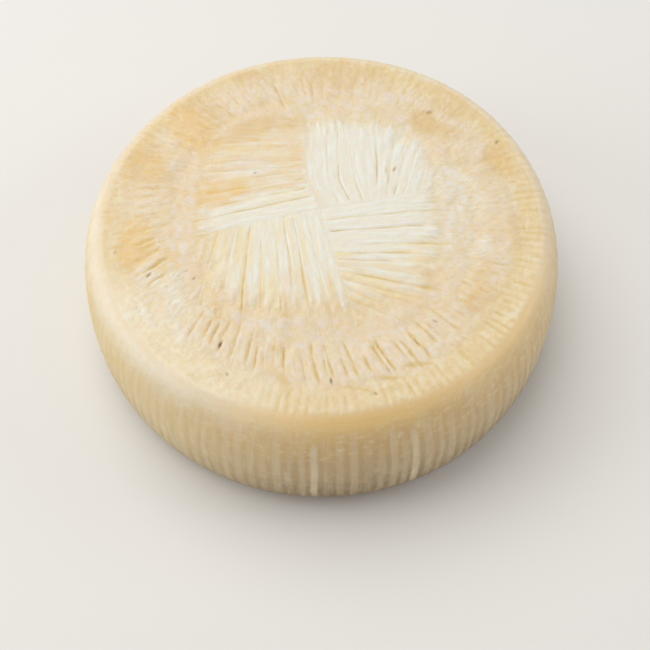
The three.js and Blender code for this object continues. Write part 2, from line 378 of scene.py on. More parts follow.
@dataclass(frozen=True)
class SkinLayout:
    """How finely the skin is divided, and how its square patches and round rings are set out."""

    body: WheelBody = WheelBody()
    patch_half: float = 47.0
    patch_rounding: float = 0.4
    patch_evenness: float = 0.5
    top_cells: int = 160
    base_cells: int = 80
    top_rows: int = 42
    side_rows: int = 38
    base_rows: int = 22
    rim_density: float = 0.7

    def patch(self, cells: int) -> tuple[Array, Array]:
        """Lays out a rounded square of cells round the origin.

        Args:
            cells: How many cells each side has.

        Returns:
            The places across and towards the back of its points.
        """
        share = np.linspace(-1.0, 1.0, cells + 1)
        turned = np.tan(share * math.pi / 4)
        spaced = self.patch_evenness * share + (1.0 - self.patch_evenness) * turned
        u, v = np.meshgrid(spaced, spaced, indexing="ij")
        largest = np.maximum(np.abs(u), np.abs(v))
        length = np.maximum(np.hypot(u, v), 1e-9)
        scale = (1.0 - self.patch_rounding) + self.patch_rounding * largest / length
        return self.patch_half * u * scale, self.patch_half * v * scale

    @staticmethod
    def edge(grid: Array) -> Array:
        """Reads the edge of a square grid, counter-clockwise from its right front corner."""
        return np.concatenate([grid[-1, :-1], grid[:0:-1, -1], grid[0, :0:-1], grid[:-1, 0]])

    def build(self) -> Skin:
        """Lays out the whole wheel as one closed skin.

        Returns:
            The skin's points and faces.
        """
        skin = Skin()
        rim = self._lay_top(skin)
        foot, foot_path = self._lay_side(skin, rim)
        self._lay_base(skin, foot, foot_path)
        return skin

    def _lay_top(self, skin: Skin) -> Array:
        """Lays out the top face and returns the ring of points at its rim."""
        x, y = self.patch(self.top_cells)
        level = self.body.top_level(x, y)
        grid = skin.add(x, y, level, Region.TOP, np.hypot(x, y))
        skin.quads(grid[:-1, :-1], grid[1:, :-1], grid[1:, 1:], grid[:-1, 1:])
        edge_x, edge_y = self.edge(x), self.edge(y)
        angle = direction_of(edge_x, edge_y)
        rim_radius = (self.body.radius - self.body.rim_inset) * self.body.plan_scale(angle)
        rim_x, rim_y = rim_radius * unit(angle)[0], rim_radius * unit(angle)[1]
        ring = self.edge(grid)
        for row in range(1, self.top_rows + 1):
            share = row / self.top_rows
            x = edge_x + (rim_x - edge_x) * share
            y = edge_y + (rim_y - edge_y) * share
            level = self.body.top_level(x, y)
            outer = skin.add(x, y, level, Region.TOP, np.hypot(x, y))
            skin.band(ring, outer)
            ring = outer
        return ring

    def _lay_side(self, skin: Skin, rim: Array) -> tuple[Array, float]:
        """Lays out the side below the rim.

        Args:
            skin: The skin to add to.
            rim: The ring of points at the rim.

        Returns:
            The ring of points at the foot, and the path to it.
        """
        body = self.body
        x, y = self.patch(self.top_cells)
        angle = direction_of(self.edge(x), self.edge(y))
        ring = rim
        radii, levels, paths = body.side_rows(self.side_rows, self.rim_density)
        rim_radius = body.radius - body.rim_inset
        for radius, level, path in zip(radii, levels, paths):
            across, back = unit(angle)
            x = radius * body.plan_scale(angle) * across
            y = radius * body.plan_scale(angle) * back
            settle = smooth_step(np.array(level), body.widest_level, body.height)
            z = level + settle * (body.top_level(x, y) - body.height)
            outer = skin.add(x, y, z, Region.SIDE, np.full(x.shape, rim_radius + path))
            skin.band(ring, outer)
            ring = outer
        return ring, rim_radius + float(paths[-1])

    def _lay_base(self, skin: Skin, foot: Array, foot_path: float) -> None:
        """Lays out the base within the foot.

        Args:
            skin: The skin to add to.
            foot: The ring of points at the foot.
            foot_path: The path to it from the middle of the top.
        """
        patch_x, patch_y = self.patch(self.base_cells)
        edge_x, edge_y = self.edge(patch_x), self.edge(patch_y)
        angle = direction_of(edge_x, edge_y)
        foot_radius = (self.body.radius - self.body.foot_inset) * self.body.plan_scale(angle)
        foot_x, foot_y = foot_radius * unit(angle)[0], foot_radius * unit(angle)[1]
        ring = foot
        for row in range(1, self.base_rows):
            share = row / self.base_rows
            x = foot_x + (edge_x - foot_x) * share
            y = foot_y + (edge_y - foot_y) * share
            path = foot_path + foot_radius - np.hypot(x, y)
            inner = skin.add(x, y, np.zeros(x.shape), Region.BASE, path)
            if row == 1:
                skin.halving_band(ring, inner)
            else:
                skin.band(ring, inner)
            ring = inner
        path = foot_path + self.body.radius - self.body.foot_inset - np.hypot(patch_x, patch_y)
        grid = skin.add(patch_x, patch_y, np.zeros(patch_x.shape), Region.BASE, path)
        skin.band(ring, self.edge(grid))
        skin.quads(grid[:-1, :-1], grid[:-1, 1:], grid[1:, 1:], grid[1:, :-1])


# ---------------------------------------------------------------- The mould's marks


@dataclass(frozen=True)
class Bundle:
    """One of the pinwheel's four bundles of strands.

    The seam is the direction of its first strand. Its strands turn back clockwise, as the fan gives by
    distances across the bundle and turns, and butt against the first strand of the bundle before it.
    """

    seam: float
    fan: Shares
    across: float
    grooves: Shares
    ivory: float
    ivory_to: float
    ivory_rest: float = 0.3
    seam_ivory: float = 1.0
    end_ivory: float = 0.0
    tip_ivory: float = 1.0
    lemon: float = 0.0
    lemon_from: float = 90.0
    seam_cut: float = 1.0
    worn_from: float = 90.0
    fade: Limits = (0.88, 1.08)
    outer_cut: float = 0.3
    search: Limits = (-1.0, 110.0)
    search_steps: int = 30

    def strand_direction(self, distance: Array) -> Array:
        """Gives the direction of the strand at each distance across the bundle, in degrees."""
        distances, turns = zip(*self.fan)
        return self.seam - np.interp(distance, distances, turns)

    def locate(self, x: Array, y: Array, base: float) -> tuple[Array, Array, Array]:
        """Finds the strand that runs through each point.

        Args:
            x: Places across, from the pinwheel's centre.
            y: Places towards the back.
            base: The direction of the seam that the strands start from.

        Returns:
            The distance across the bundle, the place along the strand, and how squarely the strand leaves
            the seam, as a sine.
        """
        base_x, base_y = unit(base)
        low = np.full(x.shape, self.search[0])
        high = np.full(x.shape, self.search[1])
        for _ in range(self.search_steps):
            middle = (low + high) / 2
            strand_x, strand_y = unit(self.strand_direction(middle))
            side = (x - middle * base_x) * strand_y - (y - middle * base_y) * strand_x
            low = np.where(side > 0, middle, low)
            high = np.where(side > 0, high, middle)
        strand_x, strand_y = unit(self.strand_direction(low))
        along = (x - low * base_x) * strand_x + (y - low * base_y) * strand_y
        square = np.abs(base_x * strand_y - base_y * strand_x)
        return low, along, square

    def edges(self) -> tuple[Array, Array]:
        """Gives the distances of the grooves, the two outer edges among them, and the cut of each."""
        distance = np.array([0.0, *(groove[0] for groove in self.grooves), self.across])
        cut = np.array([0.0, *(groove[1] for groove in self.grooves), self.outer_cut])
        return distance, cut


@dataclass(frozen=True)
class Pinwheel:
    """The four bundles of strands pressed into the middle of a face."""

    centre: tuple[float, float] = (-1.5, 5.0)
    half_width: float = 54.0
    squareness: float = 3.6
    seam_bend: float = 3.7
    seam_bend_peak: float = 17.0
    seam_bend_end: float = 52.0
    strand_stretch: float = 0.12
    seam_half_width: float = 1.4
    seam_bend_middle: float = -4.0
    seam_bend_fade: Limits = (10.0, 30.0)
    seam_clear: Limits = (0.4, 2.5)
    seam_ivory_reach: float = 8.0
    worn_loss: float = 0.75
    worn_fade: float = 8.0
    ivory_blend: float = 9.0
    end_reach: float = 5.0
    lemon_fade: float = 10.0
    ragged_end: float = 0.22
    ivory_fade: Limits = (0.78, 1.16)
    tip_fade: Limits = (0.25, 0.85)
    rim_step: Limits = (0.82, 1.32)
    rim_lobes: float = 3.0
    edge_fade: Limits = (0.9, 1.08)
    grains_apart: float = 40.0
    bundles: tuple[Bundle, ...] = (
        Bundle(
            seam=97.0,
            fan=((20.0, 0.0), (26.0, 7.0), (33.0, 18.0), (40.0, 25.0)),
            across=52.0,
            grooves=(
                (9.6, 0.4), (14.4, 0.85), (20.0, 0.6), (26.3, 0.9), (30.5, 1.1), (34.0, 0.8),
                (38.0, 0.8), (45.0, 0.5),
            ),
            ivory=1.0,
            ivory_to=60.0,
            seam_ivory=0.5,
            seam_cut=0.15,
            fade=(0.6, 1.05),
        ),
        Bundle(
            seam=194.7,
            fan=((10.0, 0.0), (15.0, 4.0), (25.0, 11.0), (30.0, 15.0)),
            across=48.0,
            grooves=(
                (8.0, 0.8), (12.5, 0.8), (17.5, 0.7), (21.5, 0.5), (25.0, 0.6), (28.5, 0.5),
                (34.0, 0.35), (40.0, 0.2),
            ),
            ivory=0.85,
            ivory_to=9.0,
            ivory_rest=0.22,
            end_ivory=0.45,
            tip_ivory=0.8,
            lemon=0.3,
            lemon_from=0.0,
            seam_cut=0.6,
            worn_from=29.0,
        ),
        Bundle(
            seam=284.4,
            fan=((0.0, 0.0), (10.0, 3.0), (25.0, 12.0), (40.0, 22.0), (52.0, 28.0)),
            across=52.0,
            grooves=(
                (6.9, 0.3), (12.4, 0.7), (16.5, 0.6), (20.5, 0.4), (26.5, 1.0), (31.5, 1.6),
                (38.0, 0.4), (46.0, 0.7),
            ),
            ivory=0.92,
            ivory_to=36.0,
            ivory_rest=0.6,
            tip_ivory=0.45,
            lemon=0.5,
            lemon_from=0.0,
            seam_cut=0.5,
        ),
        Bundle(
            seam=10.8,
            fan=((0.0, 2.0), (8.0, 4.0), (20.0, 9.5), (28.0, 13.0), (34.0, 24.0), (42.0, 36.0), (50.0, 41.0)),
            across=47.0,
            grooves=(
                (6.9, 0.8), (13.0, 1.0), (19.9, 0.85), (24.4, 0.9), (28.0, 0.7), (31.0, 0.6),
                (34.0, 0.8), (37.5, 0.5), (42.0, 0.5),
            ),
            ivory=1.0,
            ivory_to=20.0,
            ivory_rest=0.42,
            tip_ivory=0.9,
            lemon=0.55,
            lemon_from=12.0,
            seam_cut=0.5,
        ),
    )

    def reach(self, x: Array, y: Array) -> Array:
        """Says how far out points lie, as a share of the way to the pinwheel's rounded square."""
        power = self.squareness
        return ((np.abs(x) ** power + np.abs(y) ** power) ** (1.0 / power)) / self.half_width

    def press(self, traces: Traces, where: Array, x: Array, y: Array, depth: float) -> None:
        """Notes the strands at the points of one face.

        Args:
            traces: The values to write, for every point of the skin.
            where: The numbers of this face's points.
            x: Their places across, from the pinwheel's centre.
            y: Their places towards the back.
            depth: The share of the full depth that this face is cut to.
        """
        bend = self.seam_bend * smooth_step(y, 0.0, self.seam_bend_peak)
        bend = bend * (1.0 - smooth_step(y, self.seam_bend_peak, self.seam_bend_end))
        x = x + bend * (1.0 - smooth_step(np.abs(x - self.seam_bend_middle), *self.seam_bend_fade))
        reach = self.reach(x, y)
        angle = direction_of(x, y)
        for index, bundle in enumerate(self.bundles):
            base = self.bundles[index - 1].seam
            span = (bundle.seam - base) % FULL_TURN
            mine = ((angle - base) % FULL_TURN) < span
            self._press_bundle(traces, where[mine], x[mine], y[mine], reach[mine], depth, index)
        traces[Trace.PINWHEEL][where] = (1.0 - smooth_step(reach, *self.edge_fade)) * depth
        low = smooth_step(reach + self.ragged_end * meander(self.rim_lobes * angle, 4), *self.rim_step)
        traces[Trace.UNDER][where] += depth * low

    def _press_bundle(
        self, traces: Traces, where: Array, x: Array, y: Array, reach: Array, depth: float, index: int
    ) -> None:
        """Notes one bundle's strands.

        Args:
            traces: The values to write.
            where: The numbers of the bundle's points.
            x: Their places across, from the pinwheel's centre.
            y: Their places towards the back.
            reach: How far out each lies, as a share of the way to the rounded square.
            depth: The share of the full depth.
            index: Which bundle it is.
        """
        bundle = self.bundles[index]
        distance, along, square = bundle.locate(x, y, self.bundles[index - 1].seam)
        edges, cuts = bundle.edges()
        nearest = np.abs(distance[:, None] - edges[None, :]).argmin(axis=1)
        strand = np.clip(np.searchsorted(edges, distance) - 1, 0, len(edges) - 2)
        width = edges[strand + 1] - edges[strand]
        ragged = self.ragged_end * 2.0 * (uneven(nearest + 10.0 * index, 9) - 0.5)
        inside = 1.0 - smooth_step(reach + ragged, *bundle.fade)
        worn_to = bundle.worn_from + self.worn_fade
        worn = 1.0 - self.worn_loss * smooth_step(distance, bundle.worn_from, worn_to)
        before = self.bundles[index - 1]
        to_own = 1.0 - smooth_step(np.abs(distance) * square, 0.0, self.seam_half_width)
        to_base = 1.0 - smooth_step(np.abs(along) * square, 0.0, self.seam_half_width)
        seam = np.maximum(bundle.seam_cut * to_own, before.seam_cut * to_base)
        clear = smooth_step(np.minimum(np.abs(along), np.abs(distance)) * square, *self.seam_clear)
        traces[Trace.STRAND_PHASE][where] = strand + (distance - edges[strand]) / width
        traces[Trace.STRAND_WIDTH][where] = width * square
        traces[Trace.STRAND_CUT][where] = cuts[nearest] * inside * worn * depth * clear
        traces[Trace.SEAM][where] = seam * inside * depth
        self._note_tint(traces, where, bundle, distance, along, reach)
        grains_apart = np.full(x.shape, self.grains_apart * (index + 1))
        grain = np.stack([distance, along * self.strand_stretch, grains_apart], axis=-1)
        traces[Trace.STRAND_GRAIN][where] = grain

    def _note_tint(
        self, traces: Traces, where: Array, bundle: Bundle, distance: Array, along: Array, reach: Array
    ) -> None:
        """Notes where one bundle is ivory, and where it has lemon streaks.

        Args:
            traces: The values to write.
            where: The numbers of the bundle's points.
            bundle: The bundle.
            distance: How far across the bundle each point lies.
            along: Its place along the strand.
            reach: How far out it lies, as a share of the way to the rounded square.
        """
        faded = smooth_step(distance, bundle.ivory_to, bundle.ivory_to + self.ivory_blend)
        pale = 1.0 - (1.0 - bundle.ivory_rest) * faded
        from_seam = smooth_step(distance, 0.0, self.seam_ivory_reach)
        pale = pale * (bundle.seam_ivory + (1.0 - bundle.seam_ivory) * from_seam)
        pale = pale * (1.0 - (1.0 - bundle.tip_ivory) * smooth_step(reach, *self.tip_fade))
        pale = np.maximum(pale, bundle.end_ivory * (1.0 - smooth_step(along, 0.0, self.end_reach)))
        traces[Trace.IVORY][where] = bundle.ivory * pale * (1.0 - smooth_step(reach, *self.ivory_fade))
        lemon = smooth_step(distance, bundle.lemon_from, bundle.lemon_from + self.lemon_fade)
        traces[Trace.LEMON][where] = bundle.lemon * lemon * (1.0 - smooth_step(reach, *self.ivory_fade))


@dataclass(frozen=True)
class MarkRow:
    """A row of furrows round the wheel, unevenly spaced and unevenly cut."""

    count: int
    seed: int
    straying: float
    shallowest: float
    rarity: float = 1.0
    clear_of_start: Limits = (0.4, 1.2)

    def nearest(self, angle: Array) -> tuple[Array, Array, Array, Array, Array]:
        """Finds the furrow nearest to each direction.

        Args:
            angle: Directions in degrees.

        Returns:
            The phase, which counts furrows and rises evenly between them, the turn between the two
            furrows in degrees, the number of the nearest one, its cut, and how near to the crest between
            them each direction lies.
        """
        number = np.arange(-1, self.count + 1)
        whole = number % self.count
        step = FULL_TURN / self.count
        place = (number + self.straying * (uneven(whole, self.seed) - 0.5)) * step
        after = np.clip(np.searchsorted(place, angle % FULL_TURN), 1, self.count + 1)
        before = after - 1
        to_before = angle % FULL_TURN - place[before]
        to_after = angle % FULL_TURN - place[after]
        first = np.abs(to_before) < np.abs(to_after)
        furrow = np.where(first, whole[before], whole[after])
        width = place[after] - place[before]
        phase = number[before] + to_before / width
        cut = self.shallowest + (1.0 - self.shallowest) * uneven(furrow, self.seed + 1) ** self.rarity
        start = np.abs((angle + 180.0) % FULL_TURN - 180.0)
        cut = cut * smooth_step(start, *self.clear_of_start)
        crest = 2.0 * np.minimum(np.abs(to_before), np.abs(to_after)) / width
        return phase, width, furrow, cut, np.clip(crest, 0.0, 1.0)


@dataclass(frozen=True)
class PleatRing:
    """The ring of pleats round the pinwheel. They lean, and differ in depth round the wheel."""

    centre: tuple[float, float] = (0.0, 3.5)
    row: MarkRow = MarkRow(count=104, seed=21, straying=0.75, shallowest=0.2)
    inner: float = 70.0
    outer: float = 84.5
    inner_straying: float = 7.0
    outer_straying: float = 5.0
    ring_straying: float = 2.5
    lean: float = 8.0
    lean_swing: float = 8.0
    lean_towards: float = 215.0
    lean_within: float = 8.0
    lean_beyond: float = 4.0
    inner_fade: Limits = (-1.5, 3.0)
    outer_fade: Limits = (-3.0, 1.5)
    under: float = 0.35
    hollow_end: Limits = (65.0, 75.0)
    dip_in: Limits = (82.0, 87.0)
    dip_out: Limits = (87.0, 92.0)
    depths: Shares = (
        (0, 0.3), (50, 0.35), (75, 0.3), (100, 0.5), (130, 0.4), (165, 0.45), (190, 0.9),
        (207, 0.9), (214, 0.2), (224, 0.2), (232, 1.0), (245, 0.75), (256, 0.9), (266, 1.3),
        (298, 1.25), (310, 0.75), (320, 0.7), (335, 0.3),
    )

    def leaned(self, x: Array, y: Array) -> tuple[Array, Array]:
        """Gives each point's direction with the pleats' lean taken out, and its radius.

        Args:
            x: Places across, from the ring's centre.
            y: Places towards the back.

        Returns:
            The direction in degrees and the radius.
        """
        radius = np.hypot(x, y)
        angle = direction_of(x, y)
        lean = self.lean + self.lean_swing * np.cos(np.radians(angle - self.lean_towards))
        middle = (self.inner + self.outer) / 2
        beyond = np.clip(radius, self.inner - self.lean_within, self.outer + self.lean_beyond) - middle
        shift = np.degrees(np.tan(np.radians(lean)) * beyond / middle)
        return angle - shift, radius

    def press(self, traces: Traces, where: Array, x: Array, y: Array, depth: float) -> None:
        """Notes the pleats at the points of one face.

        Args:
            traces: The values to write.
            where: The numbers of this face's points.
            x: Their places across, from the ring's centre.
            y: Their places towards the back.
            depth: The share of the full depth that this face is cut to.
        """
        angle, radius = self.leaned(x, y)
        phase, width, furrow, cut, _ = self.row.nearest(angle)
        drift = self.ring_straying * meander(angle, 5)
        inner = self.inner + self.inner_straying * (uneven(furrow, self.row.seed + 2) - 0.5) + drift
        outer = self.outer + self.outer_straying * (uneven(furrow, self.row.seed + 3) - 0.5) + drift
        length = smooth_step(radius - inner, *self.inner_fade)
        length = length * (1.0 - smooth_step(radius - outer, *self.outer_fade))
        share = share_towards(angle, self.depths)
        traces[Trace.PLEAT_PHASE][where] = phase
        traces[Trace.PLEAT_WIDTH][where] = np.radians(width) * radius
        traces[Trace.PLEAT_CUT][where] = cut * length * share * depth
        step = radius + self.ring_straying * meander(angle, 6)
        traces[Trace.UNDER][where] *= 1.0 - smooth_step(step, *self.hollow_end)
        dip = smooth_step(step, *self.dip_in) * (1.0 - smooth_step(step, *self.dip_out))
        traces[Trace.UNDER][where] += self.under * dip * depth


@dataclass(frozen=True)
class RimBars:
    """The short bars just inside the rim, which end in low scallops above the smooth shoulder."""

    row: MarkRow = MarkRow(count=150, seed=31, straying=0.5, shallowest=0.2)
    inner: float = 86.0
    outer: float = 95.2
    scallop: float = 1.6
    ledge: float = 0.45
    depths: Shares = (
        (0, 0.6), (40, 0.35), (90, 0.3), (140, 0.4), (180, 0.35), (200, 0.2), (225, 0.08),
        (245, 0.2), (262, 0.7), (280, 0.8), (300, 0.75), (330, 0.75),
    )
    drawn_in: Shares = (
        (0, -6.0), (110, -7.0), (160, -5.0), (190, -1.0), (225, 0.0), (238, 0.4), (250, 0.9),
        (265, 0.8), (283, 1.2), (295, 1.0), (308, 0.3), (335, 0.0), (348, -3.0),
    )
    start_straying: float = 4.0
    start_fade: Limits = (-1.0, 2.5)
    end_fade: Limits = (0.0, 3.0)
    softest: float = 6.0
    sharpest: float = 1.4
    lip: float = 0.4
    ledge_fade: Limits = (104.0, 122.0)
    slump: float = 2.0
    slump_rise: Limits = (-1.0, 6.5)
    slump_fade: Limits = (106.0, 130.0)

    def edge(self, angle: Array) -> Array:
        """Gives the path at which the bars end in each direction."""
        return self.outer - share_towards(angle, self.drawn_in)

    def sharpness(self, angle: Array) -> Array:
        """Says how sharply the top ends in each direction, from 0 to 1: sharper where the bars are deep."""
        return np.clip(2.0 * share_towards(angle, self.depths), 0.0, 1.0)

    def press(self, traces: Traces, where: Array, angle: Array, path: Array) -> None:
        """Notes the bars at the points of the top and the shoulder.

        Args:
            traces: The values to write.
            where: The numbers of the points.
            angle: Their directions in degrees.
            path: How far they lie from the middle of the top, along the skin.
        """
        phase, width, furrow, cut, crest = self.row.nearest(angle)
        share = share_towards(angle, self.depths)
        start = self.inner + self.start_straying * (uneven(furrow, self.row.seed + 2) - 0.5)
        edge = self.edge(angle)
        length = smooth_step(path - start, *self.start_fade)
        length = length * (1.0 - smooth_step(path - edge, *self.end_fade))
        traces[Trace.BAR_PHASE][where] = phase
        traces[Trace.BAR_WIDTH][where] = np.radians(width) * path
        traces[Trace.BAR_CUT][where] = cut * share * length
        end = edge + self.scallop * share * (2.0 * np.sqrt(crest) - 1.0)
        soft = self.softest - (self.softest - self.sharpest) * self.sharpness(angle)
        fall = smooth_step(path - end, -self.lip, soft)
        fall = fall * (1.0 - smooth_step(path, *self.ledge_fade))
        traces[Trace.UNDER][where] += self.ledge * fall * (0.5 + 0.5 * share)
        worn = self.slump * np.clip(share_towards(angle, self.drawn_in), 0.0, None)
        worn = worn * smooth_step(path - edge, *self.slump_rise)
        traces[Trace.UNDER][where] += worn * (1.0 - smooth_step(path, *self.slump_fade))


@dataclass(frozen=True)
class SideFlutes:
    """The upright flutes that the mould's wall leaves, below a smooth shoulder."""

    row: MarkRow = MarkRow(count=128, seed=41, straying=0.35, shallowest=0.1, rarity=1.5)
    wall_radius: float = 109.0
    start: float = 103.5
    start_straying: float = 9.0
    start_raised: float = 6.5
    raised_evenness: float = 0.7
    rib_lead: float = 2.0
    raised: Shares = ((0, 0.6), (25, 1.0), (70, 0.9), (130, 1.0), (165, 0.7), (200, 0.0), (330, 0.0))
    extra_depth: float = 1.2
    rise: float = 7.0
    end: float = 150.0
    foot: float = 163.0
    plain_ribs: Limits = (0.2, 0.48)
    pale_ribs: tuple[int, ...] = (95, 103)

    def press(self, traces: Traces, where: Array, angle: Array, path: Array) -> None:
        """Notes the flutes at the points of the side.

        Args:
            traces: The values to write.
            where: The numbers of the points.
            angle: Their directions in degrees.
            path: How far they lie from the middle of the top, along the skin.
        """
        phase, width, furrow, cut, _ = self.row.nearest(angle)
        rib = np.floor(phase) % self.row.count
        fall = 1.0 - smooth_step(path, self.end, self.foot)
        lifted = share_towards(angle, self.raised)
        straying = self.start_straying * (1.0 - self.raised_evenness * lifted)
        start = self.start + straying * uneven(furrow, self.row.seed + 2) - self.start_raised * lifted
        cut = cut * (1.0 + self.extra_depth * lifted)
        rib_start = self.start - self.rib_lead + self.start_straying * uneven(rib, self.row.seed + 3)
        traces[Trace.FLUTE_PHASE][where] = phase
        traces[Trace.FLUTE_WIDTH][where] = np.radians(width) * self.wall_radius
        traces[Trace.FLUTE_CUT][where] = cut * smooth_step(path - start, 0.0, self.rise) * fall
        faint, clear = self.plain_ribs
        strength = faint + (clear - faint) * uneven(rib, self.row.seed + 4)
        strength = np.where(np.isin(rib, self.pale_ribs), 1.0, strength)
        traces[Trace.RIB][where] = strength * smooth_step(path - rib_start, 0.0, self.rise) * fall


@dataclass(frozen=True)
class Spot:
    """A soft patch on the top face, with its strength, its turn in degrees, and its length to its width."""

    x: float
    y: float
    radius: float
    strength: float = 1.0
    turn: float = 0.0
    stretch: float = 1.0
    core: float = 0.25

    def share(self, x: Array, y: Array) -> Array:
        """Says how strongly the patch shows at each place.

        Args:
            x: Places across.
            y: Places towards the back.

        Returns:
            Its strength in the middle, fading to 0 at its edge.
        """
        across, back = unit(self.turn)
        along = (x - self.x) * across + (y - self.y) * back
        beside = (y - self.y) * across - (x - self.x) * back
        apart = np.hypot(along / self.stretch, beside) / self.radius
        return self.strength * (1.0 - smooth_step(apart, self.core, 1.0))


@dataclass(frozen=True)
class Patches:
    """Where the rind is tan, amber, bloomed, buttery or frosted, and where it is pitted."""

    tan: tuple[Spot, ...] = (
        Spot(-33, 53, 9, 1.0, 25, 2.5), Spot(-46, 45, 6, 0.7, 12, 2.4), Spot(-17, 56, 6, 0.6, 20, 2.2),
        Spot(-80, 30, 17, 0.7, 110, 1.4), Spot(-55, 62, 16, 0.7, 130, 1.4),
        Spot(48, 56, 11, 1.0, 130, 1.3), Spot(60, 50, 9, 0.7), Spot(80, 33, 11, 0.8, 110, 1.5),
        Spot(69, -25, 12, 0.5, 70, 1.3), Spot(66, -42, 10, 0.7, 40, 1.6), Spot(10, -47, 9, 0.25),
        Spot(-46, -50, 7, 0.5, 80, 2.2), Spot(8, 86, 16, 0.7, 0, 2.0), Spot(60, 68, 13, 0.6, 140, 1.6),
        Spot(-30, 86, 12, 0.5, 15, 1.8), Spot(86, -5, 8, 0.5, 90, 2.6),
    )
    amber: tuple[Spot, ...] = (
        Spot(-46, 14, 12, 0.75, 190, 1.9), Spot(-62, 52, 16, 0.8, 130, 1.7),
        Spot(-81, -13, 14, 0.9, 95, 1.6), Spot(-92, 22, 8, 0.4, 100, 2.2),
        Spot(-78, 32, 13, 0.5, 110, 1.6), Spot(-12, 37, 7, 0.4, 100, 1.8),
        Spot(-18, -42, 6, 0.5, 280, 1.6), Spot(-30, 42, 10, 0.4, 10, 2.0),
        Spot(7, -40, 8, 0.4, 285, 2.0), Spot(-16, -47, 5, 0.5, 275, 1.8),
        Spot(28, -39, 11, 0.4, 5, 2.2), Spot(-47, -49, 6, 0.35, 80, 2.6),
        Spot(-68, -22, 10, 0.5, 100, 1.4), Spot(55, 58, 8, 0.3, 120, 1.8),
        Spot(83, 33, 8, 0.5, 110, 2.0), Spot(66, -36, 10, 0.35, 60, 1.8),
    )
    bloom: tuple[Spot, ...] = (
        Spot(-59, 2, 14, 1.0, 90, 1.5), Spot(-70, 8, 9, 0.8, 100, 1.5), Spot(-2, -52, 12, 0.6, 0, 2.4),
        Spot(-61, -16, 11, 0.9, 110, 1.3), Spot(-69, 29, 9, 0.6, 100, 1.4),
        Spot(-57, -29, 10, 0.8, 110, 1.3), Spot(-33, -61, 16, 0.9, 155, 1.5),
        Spot(0, -64, 16, 1.0, 0, 1.8), Spot(35, -62, 15, 1.0, 25, 1.5), Spot(54, -48, 10, 0.7, 50, 1.4),
        Spot(73, -19, 13, 1.0, 75, 1.5), Spot(62, 6, 15, 1.0, 100, 1.8),
        Spot(66, 24, 12, 0.8, 110, 1.4), Spot(50, 40, 8, 0.7, 100, 1.4),
        Spot(38, 70, 12, 0.8, 150, 1.6), Spot(-32, 76, 14, 0.9, 15, 1.7), Spot(8, 74, 13, 0.6, 0, 1.9),
        Spot(-6, 60, 10, 0.7, 0, 1.6), Spot(-33, 29, 11, 0.5, 0, 1.8), Spot(-52, 36, 8, 0.5, 100, 1.5),
    )
    butter: tuple[Spot, ...] = (
        Spot(-74, -58, 26, 0.8, 130, 2.0), Spot(-45, -80, 22, 0.7, 155, 2.0),
        Spot(-62, -50, 18, 0.5, 130, 1.6),
    )
    frost: tuple[Spot, ...] = (
        Spot(-33, 27, 11, 0.26, 178, 2.6), Spot(-20, 17, 8, 0.3, 185, 2.4),
        Spot(56, 14, 22, 0.5, 105, 1.8), Spot(64, -12, 18, 0.38, 75, 1.6),
        Spot(51, -10, 13, 0.45, 95, 1.6), Spot(-24, -58, 14, 0.2, 160, 1.8),
        Spot(-60, -40, 16, 0.35, 130, 1.8), Spot(-70, -52, 12, 0.3, 140, 2.0),
        Spot(30, -54, 14, 0.2, 20, 1.8),
    )
    streaks: tuple[Spot, ...] = (
        Spot(26.4, -79.1, 1.3, 0.9, 0, 6.0), Spot(39.0, -72.9, 1.5, 0.8, 8, 6.0),
        Spot(13.1, -83.9, 0.9, 0.8, 350, 11.0), Spot(-15.6, -80.0, 3.0, 0.5, 320, 1.8),
        Spot(-19.5, -66.2, 2.6, 0.4, 330, 1.8), Spot(20.4, -64.8, 2.2, 0.6, 90, 1.6),
        Spot(32.8, 27.6, 1.0, 0.9, 68, 3.0), Spot(29.0, 27.0, 0.9, 0.7, 85, 4.5),
    )
    pits: tuple[Spot, ...] = (
        Spot(-30.6, 25.7, 0.8, 0.6), Spot(-74.1, -30.0, 0.9, 0.8, 60, 1.8),
        Spot(-89.9, -18.1, 0.9, 0.5), Spot(-41.6, -63.9, 0.9, 1.0, 70, 2.8),
        Spot(-38.1, -77.7, 1.0, 0.5), Spot(3.6, -80.5, 0.9, 0.9, 80, 2.0), Spot(21.0, -86.0, 1.0, 0.65),
        Spot(81.1, 44.5, 1.0, 0.7, 60, 1.5), Spot(50.5, 62.9, 1.2, 0.5, 20, 2.0),
        Spot(-58.6, -27.5, 0.8, 0.6), Spot(-54.5, -31.1, 0.7, 0.6, 80, 2.2),
        Spot(46.7, -52.9, 0.8, 0.5, 160, 1.8), Spot(32.8, 27.6, 0.7, 0.3, 68, 3.0),
    )

    def press(self, traces: Traces, where: Array, x: Array, y: Array) -> None:
        """Notes the patches at the points of the top face.

        Args:
            traces: The values to write.
            where: The numbers of the points.
            x: Their places across.
            y: Their places towards the back.
        """
        groups = (
            (Trace.TAN, self.tan),
            (Trace.AMBER, self.amber),
            (Trace.BLOOM, self.bloom),
            (Trace.BUTTER, self.butter),
            (Trace.IVORY, self.frost),
            (Trace.STREAK, self.streaks),
            (Trace.PIT, self.pits),
        )
        for trace, spots in groups:
            for spot in spots:
                traces[trace][where] = np.maximum(traces[trace][where], spot.share(x, y))


